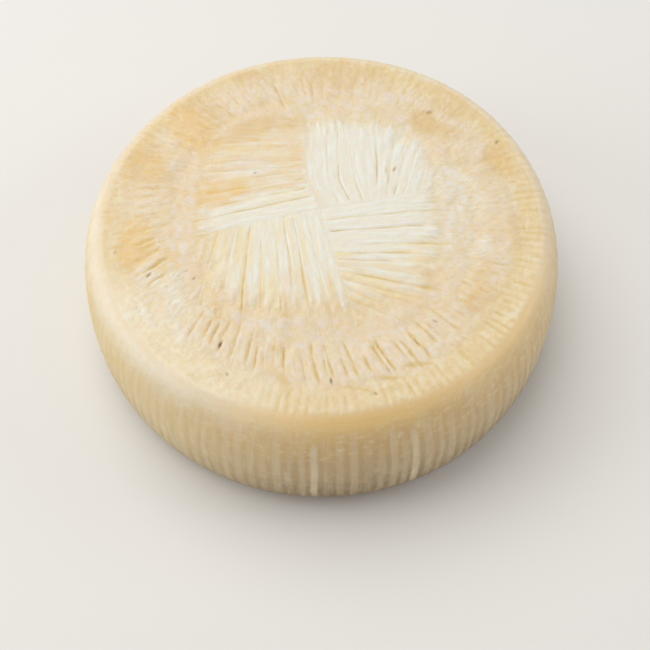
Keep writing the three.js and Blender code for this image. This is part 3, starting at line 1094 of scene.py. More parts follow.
@dataclass(frozen=True)
class MouldPrint:
    """Everything that the mould and the ageing leave on the rind, and where light and shade are painted on
    it, noted point by point.
    """

    body: WheelBody = WheelBody()
    pinwheel: Pinwheel = Pinwheel()
    pleats: PleatRing = PleatRing()
    bars: RimBars = RimBars()
    flutes: SideFlutes = SideFlutes()
    patches: Patches = Patches()
    base_depth: float = 0.6
    grain_radius: float = 95.0
    foot_from: float = 96.0
    foot_to: float = 168.0
    shoulder_start: Limits = (-1.0, 2.0)
    shoulder_end: Limits = (105.0, 116.0)
    soft_flank: float = 9.0
    sharp_flank: float = 3.8
    flank_lead: float = 0.6
    base_side: float = 0.6
    # Sectors of the side that are paler: milky rind, with painted light where the lamps fall from the left
    # and right.
    pale_and_lit_sectors: tuple[Sector, ...] = (
        Sector(205.0, 22.0, 50.0),
        Sector(20.0, 15.0, 60.0, 0.6),
        Sector(325.0, 15.0, 30.0, 0.2),
    )
    annulus: Limits = (0.78, 1.0)
    strand_crinkle: float = 0.3
    pleat_zone: Limits = (68.0, 74.0)
    pleat_calm: float = 0.35
    bar_zone: Limits = (84.0, 90.0)
    bar_calm: float = 0.15
    tan_calm: float = 0.75
    side_crinkle: float = 0.3
    shoulder_calm: float = 0.22
    base_crinkle: float = 0.35
    settling: Limits = (-6.0, 1.5)
    bloom_end: Limits = (84.0, 92.0)
    bare_bloom: float = 0.5
    rim_start: Limits = (76.0, 92.0)
    weave_start: Limits = (0.92, 1.08)
    weave_end: Limits = (65.0, 73.0)
    weave_straying: float = 3.0
    rim_colour: Shares = (
        (0, 1.0), (60, 0.8), (90, 0.6), (120, 0.7), (160, 0.6), (205, 0.5), (240, 0.9), (258, 0.6),
        (298, 0.6), (320, 0.9),
    )
    # Share of the golden shoulder round the wheel: a painted warm bounce and painted shade on the front.
    gold: Shares = ((20, 0.2), (60, 0.0), (225, 0.0), (250, 1.0), (290, 1.0), (330, 1.0), (355, 0.8))

    def read(self, skin: Skin) -> Traces:
        """Notes every mark at every point of the skin.

        Args:
            skin: The plain skin.

        Returns:
            One array for each trace.
        """
        x, y = skin.joined(skin.x), skin.joined(skin.y)
        region, path = skin.joined(skin.region), skin.joined(skin.path)
        traces = {trace: np.zeros(skin.count) for trace in Trace if trace not in MADE_BY_NODES}
        for trace in GRAINS:
            traces[trace] = np.zeros((skin.count, 3))
        for trace in (Trace.STRAND_WIDTH, Trace.PLEAT_WIDTH, Trace.BAR_WIDTH, Trace.FLUTE_WIDTH):
            traces[trace][:] = UNMARKED_WIDTH

        top = np.flatnonzero(region == Region.TOP.value)
        side = np.flatnonzero(region == Region.SIDE.value)
        base = np.flatnonzero(region == Region.BASE.value)
        for face, mirror, depth, centres in (
            (top, 1.0, 1.0, (self.pinwheel.centre, self.pleats.centre)),
            (base, -1.0, self.base_depth, ((0.0, 0.0), (0.0, 0.0))),
        ):
            wheel_x, wheel_y = centres[0]
            ring_x, ring_y = centres[1]
            self.pinwheel.press(traces, face, x[face] - wheel_x, mirror * (y[face] - wheel_y), depth)
            self.pleats.press(traces, face, x[face] - ring_x, mirror * (y[face] - ring_y), depth)
        angle = direction_of(x, y)
        upper = np.concatenate([top, side])
        self.bars.press(traces, upper, angle[upper], path[upper])
        self.flutes.press(traces, side, angle[side], path[side])
        self.patches.press(traces, top, x[top], y[top])
        self._note_grain(traces, x, y, path)
        self._note_zones(traces, region, x, y, path)
        return traces

    def _note_grain(self, traces: Traces, x: Array, y: Array, path: Array) -> None:
        """Notes the direction of the fibres outside the pinwheel."""
        angle, _ = self.pleats.leaned(x - self.pleats.centre[0], y - self.pleats.centre[1])
        across, back = unit(angle)
        ring = np.stack(
            [self.grain_radius * across, self.grain_radius * back, RING_STRETCH * path], axis=-1
        )
        traces[Trace.RING_GRAIN][:] = ring

    def _note_zones(self, traces: Traces, region: Array, x: Array, y: Array, path: Array) -> None:
        """Notes the zones of the rind.

        Args:
            traces: The values to write.
            region: The face of each point.
            x: Places across.
            y: Places towards the back.
            path: How far the points lie from the middle of the top, along the skin.
        """
        angle = direction_of(x, y)
        on_top = region == Region.TOP.value
        on_base = region == Region.BASE.value
        past_rim = path - self.bars.edge(angle)
        radius = np.hypot(x - self.pleats.centre[0], y - self.pleats.centre[1])
        reach = self.pinwheel.reach(x - self.pinwheel.centre[0], y - self.pinwheel.centre[1])
        annulus = smooth_step(reach, *self.annulus)
        self._note_side(traces, angle, path, past_rim, on_base)

        crinkle = self._crinkle(x, y, radius, annulus)
        side = self.side_crinkle - self.shoulder_calm * traces[Trace.SHOULDER]
        settled = smooth_step(past_rim, *self.settling)
        crinkle = crinkle * (1.0 - settled) + side * settled
        below = np.where(on_base, self.base_crinkle * annulus, side)
        traces[Trace.CRINKLE][:] = np.where(on_top, crinkle, below)

        bare = np.where(on_top, annulus * (1.0 - smooth_step(radius, *self.bloom_end)), 0.0)
        traces[Trace.BLOOM][:] = np.maximum(traces[Trace.BLOOM], self.bare_bloom * bare)
        edge = smooth_step(radius + self.pleats.ring_straying * meander(angle, 7), *self.rim_start)
        traces[Trace.RIM][:] = np.where(on_top, edge * share_towards(angle, self.rim_colour), 0.0)
        woven = 1.0 - smooth_step(radius + self.weave_straying * meander(angle, 8), *self.weave_end)
        woven = smooth_step(reach, *self.weave_start) * woven
        traces[Trace.WEAVE][:] = np.where(on_base | on_top, woven, 0.0)
        # Painted warm bounce and shade: the share of the golden shoulder round the front.
        traces[Trace.WARM_BOUNCE][:] = share_towards(angle, self.gold)

    def _note_side(
        self, traces: Traces, angle: Array, path: Array, past_rim: Array, on_base: Array
    ) -> None:
        """Notes the shoulder, the side, the foot and the pale sectors, where the flanks are milky and light
        on them is painted.

        Args:
            traces: The values to write.
            angle: The points' directions in degrees.
            path: How far they lie from the middle of the top, along the skin.
            past_rim: How far they lie beyond the bars, along the skin.
            on_base: Which of them lie on the base.
        """
        spread = self.soft_flank - (self.soft_flank - self.sharp_flank) * self.bars.sharpness(angle)
        shoulder = smooth_step(past_rim, *self.shoulder_start) * (1.0 - smooth_step(path, *self.shoulder_end))
        traces[Trace.SHOULDER][:] = np.where(on_base, 0.0, shoulder)
        flank = smooth_step(past_rim, -self.flank_lead, spread - self.flank_lead)
        traces[Trace.SIDE][:] = np.where(on_base, self.base_side, flank)
        traces[Trace.FOOT][:] = np.clip((path - self.foot_from) / (self.foot_to - self.foot_from), 0.0, 1.0)
        # Pale flanks: milky rind with painted light.
        pale = np.max([sector.share(angle) for sector in self.pale_and_lit_sectors], axis=0)
        traces[Trace.PALE_AND_LIT_SIDE][:] = np.where(on_base, 0.0, pale)

    def _crinkle(self, x: Array, y: Array, radius: Array, annulus: Array) -> Array:
        """Says how crinkled the top is.

        Args:
            x: Places across.
            y: Places towards the back.
            radius: How far the points lie from the middle of the ring of pleats.
            annulus: How far out of the pinwheel they lie, from 0 to 1.

        Returns:
            The share at each point.
        """
        crinkle = self.strand_crinkle + (1.0 - self.strand_crinkle) * annulus
        crinkle = crinkle * (1.0 - self.pleat_calm * smooth_step(radius, *self.pleat_zone))
        crinkle = crinkle * (1.0 - self.bar_calm * smooth_step(radius, *self.bar_zone))
        return crinkle * (1.0 - self.tan_calm * self.patches.tan[0].share(x, y))


MADE_BY_NODES = (Trace.HOLLOW, Trace.CREASE, Trace.RING_FLOW, Trace.WOVEN_FLOW)
GRAINS = (Trace.STRAND_GRAIN, Trace.RING_GRAIN, Trace.RING_FLOW, Trace.WOVEN_FLOW)


# ---------------------------------------------------------------- Writing node trees


@dataclass(frozen=True)
class Noise:
    """One noise pattern: how fine it is, which one it is, its finer layers and their strength."""

    scale: float
    seed: float
    detail: float = 3.0
    roughness: float = 0.6


class TreeWriter:
    """Adds nodes to one tree, and feeds each input from a socket or a plain value."""

    noise_dimensions = "4D"

    def __init__(self, tree: bpy.types.NodeTree) -> None:
        """Takes the tree to write to."""
        self.tree = tree

    def node(self, kind: str, settings: dict[str, object] | None = None) -> bpy.types.Node:
        """Adds a node.

        Args:
            kind: Blender's name for the kind of node.
            settings: Its options by name.

        Returns:
            The new node.
        """
        made = self.tree.nodes.new(kind)
        for name, value in (settings or {}).items():
            setattr(made, name, value)
        return made

    def feed(self, socket: Socket, value: Value) -> None:
        """Links a socket to an input, or sets the input to a plain value."""
        if isinstance(value, Socket):
            self.tree.links.new(value, socket)
        else:
            socket.default_value = value

    def math(self, operation: str, first: Value, second: Value = 0.0, clamp: bool = False) -> Socket:
        """Works out one sum.

        Args:
            operation: Blender's name for the operation.
            first: The first value.
            second: The second value, where the operation has one.
            clamp: Whether the result is kept between 0 and 1.

        Returns:
            The result.
        """
        made = self.node("ShaderNodeMath", {"operation": operation, "use_clamp": clamp})
        self.feed(made.inputs[0], first)
        self.feed(made.inputs[1], second)
        return made.outputs[0]

    def times(self, *values: Value) -> Socket:
        """Multiplies values together."""
        result = values[0]
        for value in values[1:]:
            result = self.math("MULTIPLY", result, value)
        return result

    def plus(self, *values: Value) -> Socket:
        """Adds values together."""
        result = values[0]
        for value in values[1:]:
            result = self.math("ADD", result, value)
        return result

    def span(self, value: Value, start: Value, end: Value, low: Value = 0.0, high: Value = 1.0) -> Socket:
        """Moves a value smoothly from low to high while it goes from start to end.

        Args:
            value: The value to read.
            start: Where the change starts.
            end: Where it ends.
            low: The result at the start.
            high: The result at the end.

        Returns:
            The result.
        """
        made = self.node("ShaderNodeMapRange", {"interpolation_type": "SMOOTHSTEP", "clamp": True})
        for socket, item in zip(made.inputs[:5], (value, start, end, low, high)):
            self.feed(socket, item)
        return made.outputs[0]

    def noise(
        self, vector: Value, scale: Value, seed: Value, detail: float = 2.0, roughness: float = 0.5
    ) -> Socket:
        """Makes smooth noise from 0 to 1.

        Args:
            vector: Where to read it.
            scale: How fine it is.
            seed: Which noise it is.
            detail: How many finer layers it has.
            roughness: How strong they are.

        Returns:
            The noise.
        """
        made = self.node("ShaderNodeTexNoise", {"noise_dimensions": self.noise_dimensions})
        self.feed(made.inputs["Vector"], vector)
        self.feed(made.inputs["Scale"], scale)
        self.feed(made.inputs["W"], seed)
        self.feed(made.inputs["Detail"], detail)
        self.feed(made.inputs["Roughness"], roughness)
        return made.outputs[0]

    def pattern(self, vector: Value, noise: Noise) -> Socket:
        """Makes one of a finish's noise patterns."""
        return self.noise(vector, noise.scale, noise.seed, noise.detail, noise.roughness)

    def stretched(self, vector: Value, scale: tuple[float, float, float]) -> Socket:
        """Scales coordinates by a different share in each direction, which turns or shortens fibres."""
        made = self.node("ShaderNodeVectorMath", {"operation": "MULTIPLY"})
        self.feed(made.inputs[0], vector)
        self.feed(made.inputs[1], scale)
        return made.outputs[0]

    def crease(self, noise: Value, half_width: float) -> Socket:
        """Gives a crease, from 0 to 1, wherever noise passes its middle value."""
        apart = self.math("ABSOLUTE", self.math("SUBTRACT", noise, 0.5))
        return self.span(apart, 0.0, half_width, 1.0, 0.0)

    def furrow(
        self, phase: Value, width: Value, grain: Value, wander: Value, seed: Value
    ) -> tuple[Socket, Socket]:
        """Measures how far each point lies from the nearest furrow, as the furrows wander.

        Args:
            phase: The value that counts furrows.
            width: The distance between two furrows.
            grain: The direction of the fibres.
            wander: How far the furrows wander to each side.
            seed: Which way they wander.

        Returns:
            The distance from the furrow, and a slow swell along it from 0 to 1.
        """
        bent = self.noise(grain, BEND_SCALE, seed, 1.0)
        sway = self.times(self.math("SUBTRACT", bent, 0.5), wander, 2.0)
        moved = self.plus(phase, self.math("DIVIDE", sway, width), 0.5)
        apart = self.math("ABSOLUTE", self.math("SUBTRACT", self.math("FRACT", moved), 0.5))
        swell = self.noise(grain, SWELL_SCALE, self.plus(seed, SWELL_SEED), 1.0)
        return self.times(apart, width), swell


class ShaderWriter(TreeWriter):
    """Writes a finish."""

    def trace(self, trace: Trace) -> Socket:
        """Reads one of the rind's values."""
        made = self.node("ShaderNodeAttribute", {"attribute_name": trace.value})
        return made.outputs["Vector"] if trace in GRAINS else made.outputs["Fac"]

    def blend(self, share: Value, first: Value, second: Value) -> Socket:
        """Blends two colours.

        Args:
            share: How much of the second colour shows.
            first: The first colour.
            second: The second colour.

        Returns:
            The blended colour.
        """
        made = self.node("ShaderNodeMix", {"data_type": "RGBA", "clamp_factor": True})
        self.feed(made.inputs["Factor"], share)
        self.feed(made.inputs[6], first)
        self.feed(made.inputs[7], second)
        return made.outputs[2]


class FormWriter(TreeWriter):
    """Writes a Geometry Nodes tree."""

    def trace(self, trace: Trace) -> Socket:
        """Reads one of the rind's values."""
        kind = "FLOAT_VECTOR" if trace in GRAINS else "FLOAT"
        made = self.node("GeometryNodeInputNamedAttribute", {"data_type": kind})
        made.inputs["Name"].default_value = trace.value
        return made.outputs["Attribute"]

    def scaled(self, vector: Value, factor: Value) -> Socket:
        """Multiplies a vector by a plain value."""
        made = self.node("ShaderNodeVectorMath", {"operation": "SCALE"})
        self.feed(made.inputs[0], vector)
        self.feed(made.inputs["Scale"], factor)
        return made.outputs[0]

    def drifted(self, vector: Value, place: Value, scale: Value, reach: Value, stretch: float) -> Socket:
        """Lets a pattern's coordinates drift, so that its lines wave.

        Args:
            vector: The coordinates.
            place: Where to read the drift.
            scale: How fine the drift is.
            reach: How far the coordinates drift.
            stretch: The share of that drift along the fibres.

        Returns:
            The drifted coordinates.
        """
        noise = self.node("ShaderNodeTexNoise", {"noise_dimensions": "3D"})
        self.feed(noise.inputs["Vector"], place)
        self.feed(noise.inputs["Scale"], scale)
        noise.inputs["Detail"].default_value = 2.0
        centred = self.node("ShaderNodeVectorMath", {"operation": "SUBTRACT"})
        self.feed(centred.inputs[0], noise.outputs["Color"])
        self.feed(centred.inputs[1], (0.5, 0.5, 0.5))
        shares = self.node("ShaderNodeVectorMath", {"operation": "MULTIPLY"})
        self.feed(shares.inputs[0], centred.outputs[0])
        self.feed(shares.inputs[1], (1.0, 1.0, stretch))
        drift = self.scaled(shares.outputs[0], reach)
        total = self.node("ShaderNodeVectorMath", {"operation": "ADD"})
        self.feed(total.inputs[0], vector)
        self.feed(total.inputs[1], drift)
        return total.outputs[0]

    def keep(self, geometry: Value, trace: Trace, value: Value) -> Socket:
        """Stores a value on the rind.

        Args:
            geometry: The rind.
            trace: The value's name.
            value: The value.

        Returns:
            The rind with the value on it.
        """
        kind = "FLOAT_VECTOR" if trace in GRAINS else "FLOAT"
        made = self.node("GeometryNodeStoreNamedAttribute", {"data_type": kind, "domain": "POINT"})
        self.feed(made.inputs["Geometry"], geometry)
        made.inputs["Name"].default_value = trace.value
        self.feed(made.inputs["Value"], value)
        return made.outputs["Geometry"]


# ---------------------------------------------------------------- Pressing the marks


@dataclass(frozen=True)
class Furrow:
    """One kind of furrow: the traces it follows, its sizes, and how far it wanders."""

    name: str
    phase: Trace
    width: Trace
    cut: Trace
    grain: Trace
    seed: float
    depth: float
    half_width: float
    wander: float
    line_half_width: float
    line_strength: float
    crest_strength: float = 0.0


@dataclass(frozen=True)
class MouldMarks:
    """The Geometry Nodes tree that presses the marks into the plain skin."""

    furrows: tuple[Furrow, ...] = (
        Furrow(
            name="Strand", phase=Trace.STRAND_PHASE, width=Trace.STRAND_WIDTH, cut=Trace.STRAND_CUT,
            grain=Trace.STRAND_GRAIN, seed=0.0, depth=0.42, half_width=0.9, wander=1.1,
            line_half_width=0.5, line_strength=0.6,
        ),
        Furrow(
            name="Pleat", phase=Trace.PLEAT_PHASE, width=Trace.PLEAT_WIDTH, cut=Trace.PLEAT_CUT,
            grain=Trace.RING_GRAIN, seed=23.0, depth=1.0, half_width=1.1, wander=0.9,
            line_half_width=0.5, line_strength=0.6, crest_strength=0.3,
        ),
        Furrow(
            name="Bar", phase=Trace.BAR_PHASE, width=Trace.BAR_WIDTH, cut=Trace.BAR_CUT,
            grain=Trace.RING_GRAIN, seed=37.0, depth=0.5, half_width=1.3, wander=1.0,
            line_half_width=1.0, line_strength=0.4, crest_strength=0.4,
        ),
        Furrow(
            name="Flute", phase=Trace.FLUTE_PHASE, width=Trace.FLUTE_WIDTH, cut=Trace.FLUTE_CUT,
            grain=Trace.RING_GRAIN, seed=53.0, depth=0.3, half_width=1.6, wander=0.7,
            line_half_width=1.0, line_strength=0.1,
        ),
    )
    seam_depth: float = 0.25
    under: float = 0.8
    crinkle_depth: float = 0.5
    crinkle_scale: float = 0.4
    crease_half_width: float = 0.15
    woven_calm: float = 0.35
    fold_depth: float = 0.55
    fold_scale: float = 0.16
    crumple_depth: float = 0.8
    crumple_scale: float = 0.2
    flow_reach: float = 16.0
    flow_scale: float = 0.055
    flow_stretch: float = 0.15
    woven_stretch: float = 0.14
    depth_swell: Change = (0.32, 0.62, 0.35, 1.15)
    width_swell: Change = (0.3, 0.7, 0.75, 1.25)
    fold_edge: Limits = (0.35, 0.65)
    fold_seed: float = 9.0
    crumple_edge: Limits = (0.3, 0.7)
    crumple_seed: float = 5.0
    pit_depth: float = 0.55
    seed: float = 3.0

    def furrow_group(self) -> bpy.types.NodeTree:
        """Builds the group that turns a furrow's phase and cut into a depth.

        Returns:
            The group, with named inputs for the furrow's sizes.
        """
        tree = bpy.data.node_groups.new("furrow", "GeometryNodeTree")
        for name in ("Phase", "Width", "Cut", "Depth", "Half Width", "Wander", "Seed"):
            tree.interface.new_socket(name, in_out="INPUT", socket_type="NodeSocketFloat")
        tree.interface.new_socket("Grain", in_out="INPUT", socket_type="NodeSocketVector")
        tree.interface.new_socket("Drop", in_out="OUTPUT", socket_type="NodeSocketFloat")
        write = FormWriter(tree)
        given = write.node("NodeGroupInput").outputs
        apart, swell = write.furrow(
            given["Phase"], given["Width"], given["Grain"], given["Wander"], given["Seed"]
        )
        strength = write.span(swell, *self.depth_swell)
        width = write.times(given["Half Width"], write.span(swell, *self.width_swell))
        near = write.math("SUBTRACT", 1.0, write.math("DIVIDE", apart, width), clamp=True)
        profile = write.span(near, 0.0, 1.0)
        drop = write.times(profile, given["Cut"], given["Depth"], strength)
        end = write.node("NodeGroupOutput")
        write.feed(end.inputs["Drop"], drop)
        return tree

    def tree(self) -> bpy.types.NodeTree:
        """Builds the whole tree.

        Returns:
            A tree with named inputs for the marks' sizes, the seed and the finish.
        """
        tree = bpy.data.node_groups.new("mould_marks", "GeometryNodeTree")
        tree.interface.new_socket("Geometry", in_out="INPUT", socket_type="NodeSocketGeometry")
        for name in self.sizes():
            tree.interface.new_socket(name, in_out="INPUT", socket_type="NodeSocketFloat")
        tree.interface.new_socket("Finish", in_out="INPUT", socket_type="NodeSocketMaterial")
        tree.interface.new_socket("Geometry", in_out="OUTPUT", socket_type="NodeSocketGeometry")
        write = FormWriter(tree)
        given = write.node("NodeGroupInput").outputs
        drops = {furrow.name: self._furrow_drop(write, given, furrow) for furrow in self.furrows}
        furrows = write.math("MAXIMUM", drops["Strand"], drops["Pleat"])
        furrows = write.plus(furrows, drops["Bar"], drops["Flute"])
        furrows = write.plus(furrows, write.times(write.trace(Trace.SEAM), given["Seam Depth"]))

        place = write.scaled(write.node("GeometryNodeInputPosition").outputs["Position"], 1.0 / METRES_PER_MM)
        loose = write.math("SUBTRACT", 1.0, write.trace(Trace.SIDE))
        reach = write.times(given["Flow Reach"], loose)
        grain = write.trace(Trace.RING_GRAIN)
        flow = write.drifted(grain, place, given["Flow Scale"], reach, self.flow_stretch)
        flow = write.stretched(flow, FELT_SCALE)
        woven_flow = write.drifted(grain, place, given["Flow Scale"], reach, self.woven_stretch)
        woven_flow = write.stretched(woven_flow, WOVEN_SCALE)
        inside = write.trace(Trace.PINWHEEL)
        fibre = write.noise(write.trace(Trace.STRAND_GRAIN), given["Crinkle Scale"], given["Seed"], 2.0, 0.5)
        ring = write.noise(flow, given["Crinkle Scale"], given["Seed"], 2.0, 0.5)
        woven = write.noise(woven_flow, given["Crinkle Scale"], given["Seed"], 2.0, 0.5)
        ring = write.span(write.trace(Trace.WEAVE), 0.0, 1.0, ring, woven)
        crinkle = write.span(inside, 0.0, 1.0, ring, fibre)
        calm = write.span(write.trace(Trace.WEAVE), 0.0, 1.0, 1.0, self.woven_calm)
        amount = write.times(write.trace(Trace.CRINKLE), calm)
        lump_seed = write.plus(given["Seed"], self.crumple_seed)
        lump = write.noise(place, given["Crumple Scale"], lump_seed, 2.0, 0.5)
        fold_seed = write.plus(given["Seed"], self.fold_seed)
        fold = write.noise(woven_flow, given["Fold Scale"], fold_seed, 1.0, 0.4)
        fold = write.times(write.span(fold, *self.fold_edge), write.trace(Trace.WEAVE), given["Fold Depth"])
        crease = write.crease(crinkle, self.crease_half_width)
        creases = write.times(crease, amount, given["Crinkle Depth"])
        crumples = write.times(write.span(lump, *self.crumple_edge), amount, given["Crumple Depth"])
        pits = write.times(write.trace(Trace.PIT), given["Pit Depth"])
        sunk = write.times(write.trace(Trace.UNDER), given["Under Depth"])
        drop = write.plus(furrows, creases, crumples, fold, pits, sunk)

        shift = write.node("ShaderNodeVectorMath", {"operation": "SCALE"})
        write.feed(shift.inputs[0], write.node("GeometryNodeInputNormal").outputs["Normal"])
        write.feed(shift.inputs["Scale"], write.times(drop, -METRES_PER_MM))
        stored = write.keep(given["Geometry"], Trace.HOLLOW, furrows)
        stored = write.keep(stored, Trace.CREASE, crease)
        stored = write.keep(stored, Trace.RING_FLOW, flow)
        stored = write.keep(stored, Trace.WOVEN_FLOW, woven_flow)
        moved = write.node("GeometryNodeSetPosition")
        write.feed(moved.inputs["Geometry"], stored)
        write.feed(moved.inputs["Offset"], shift.outputs[0])
        soft = write.node("GeometryNodeSetShadeSmooth")
        write.feed(soft.inputs["Geometry"], moved.outputs["Geometry"])
        real = write.node("GeometryNodeRealizeInstances")
        write.feed(real.inputs["Geometry"], soft.outputs[0])
        dressed = write.node("GeometryNodeSetMaterial")
        write.feed(dressed.inputs["Geometry"], real.outputs["Geometry"])
        write.feed(dressed.inputs["Material"], given["Finish"])
        end = write.node("NodeGroupOutput")
        write.feed(end.inputs["Geometry"], dressed.outputs["Geometry"])
        return tree

    def _furrow_drop(self, write: FormWriter, given: bpy.types.NodeOutputs, furrow: Furrow) -> Socket:
        """Adds one kind of furrow.

        Args:
            write: The writer of the tree.
            given: The tree's inputs.
            furrow: The kind of furrow.

        Returns:
            How deep it is cut at each point.
        """
        group = bpy.data.node_groups.get("furrow") or self.furrow_group()
        made = write.node("GeometryNodeGroup", {"node_tree": group})
        write.feed(made.inputs["Phase"], write.trace(furrow.phase))
        write.feed(made.inputs["Width"], write.trace(furrow.width))
        write.feed(made.inputs["Cut"], write.trace(furrow.cut))
        write.feed(made.inputs["Grain"], write.trace(furrow.grain))
        write.feed(made.inputs["Seed"], write.plus(given["Seed"], furrow.seed))
        for size in ("Depth", "Half Width", "Wander"):
            write.feed(made.inputs[size], given[f"{furrow.name} {size}"])
        return made.outputs["Drop"]

    def sizes(self) -> dict[str, float]:
        """Gives the tree's named inputs and their values."""
        sizes: dict[str, float] = {}
        for furrow in self.furrows:
            sizes[f"{furrow.name} Depth"] = furrow.depth
            sizes[f"{furrow.name} Half Width"] = furrow.half_width
            sizes[f"{furrow.name} Wander"] = furrow.wander
        sizes["Seam Depth"] = self.seam_depth
        sizes["Under Depth"] = self.under
        sizes["Flow Reach"] = self.flow_reach
        sizes["Flow Scale"] = self.flow_scale
        sizes["Crinkle Depth"] = self.crinkle_depth
        sizes["Crinkle Scale"] = self.crinkle_scale
        sizes["Crumple Depth"] = self.crumple_depth
        sizes["Crumple Scale"] = self.crumple_scale
        sizes["Fold Depth"] = self.fold_depth
        sizes["Fold Scale"] = self.fold_scale
        sizes["Pit Depth"] = self.pit_depth
        sizes["Seed"] = self.seed
        return sizes

    def apply(self, blank: bpy.types.Object, finish: bpy.types.Material, name: str) -> bpy.types.Object:
        """Presses the marks and leaves a plain mesh.

        Args:
            blank: The plain skin.
            finish: The rind's material.
            name: The new piece's name.

        Returns:
            The finished piece, with no modifier on it.
        """
        tree = self.tree()
        modifier = blank.modifiers.new("mould_marks", "NODES")
        modifier.node_group = tree
        values: dict[str, object] = {**self.sizes(), "Finish": finish}
        for item in tree.interface.items_tree:
            if item.in_out == "INPUT" and item.name in values:
                modifier[item.identifier] = values[item.name]
        graph = bpy.context.evaluated_depsgraph_get()
        mesh = bpy.data.meshes.new_from_object(
            blank.evaluated_get(graph), preserve_all_data_layers=True, depsgraph=graph
        )
        blank.modifiers.remove(modifier)
        bpy.data.objects.remove(blank, do_unlink=True)
        mesh.name = name
        piece = bpy.data.objects.new(name, mesh)
        bpy.context.scene.collection.objects.link(piece)
        return piece


# ---------------------------------------------------------------- The finish


def tone(red: int, green: int, blue: int, light: float = 1.0) -> Tone:
    """Turns a colour as seen, from 0 to 255, into a linear one.

    Args:
        red: Its red.
        green: Its green.
        blue: Its blue.
        light: What the linear colour is divided by, for a face that gets less light than the top.

    Returns:
        The linear colour with full alpha.
    """
    linear = []
    for value in (red, green, blue):
        share = value / 255.0
        low = share / 12.92
        high = ((share + 0.055) / 1.055) ** 2.4
        linear.append(min(0.95, (low if share <= 0.04045 else high) / light))
    return (linear[0], linear[1], linear[2], 1.0)


@dataclass(frozen=True)
class Stain:
    """A colour that covers one zone: how torn its edge is, where the edge lies, and its strength."""

    trace: Trace
    tearing: float
    edge: Limits
    strength: float = 1.0


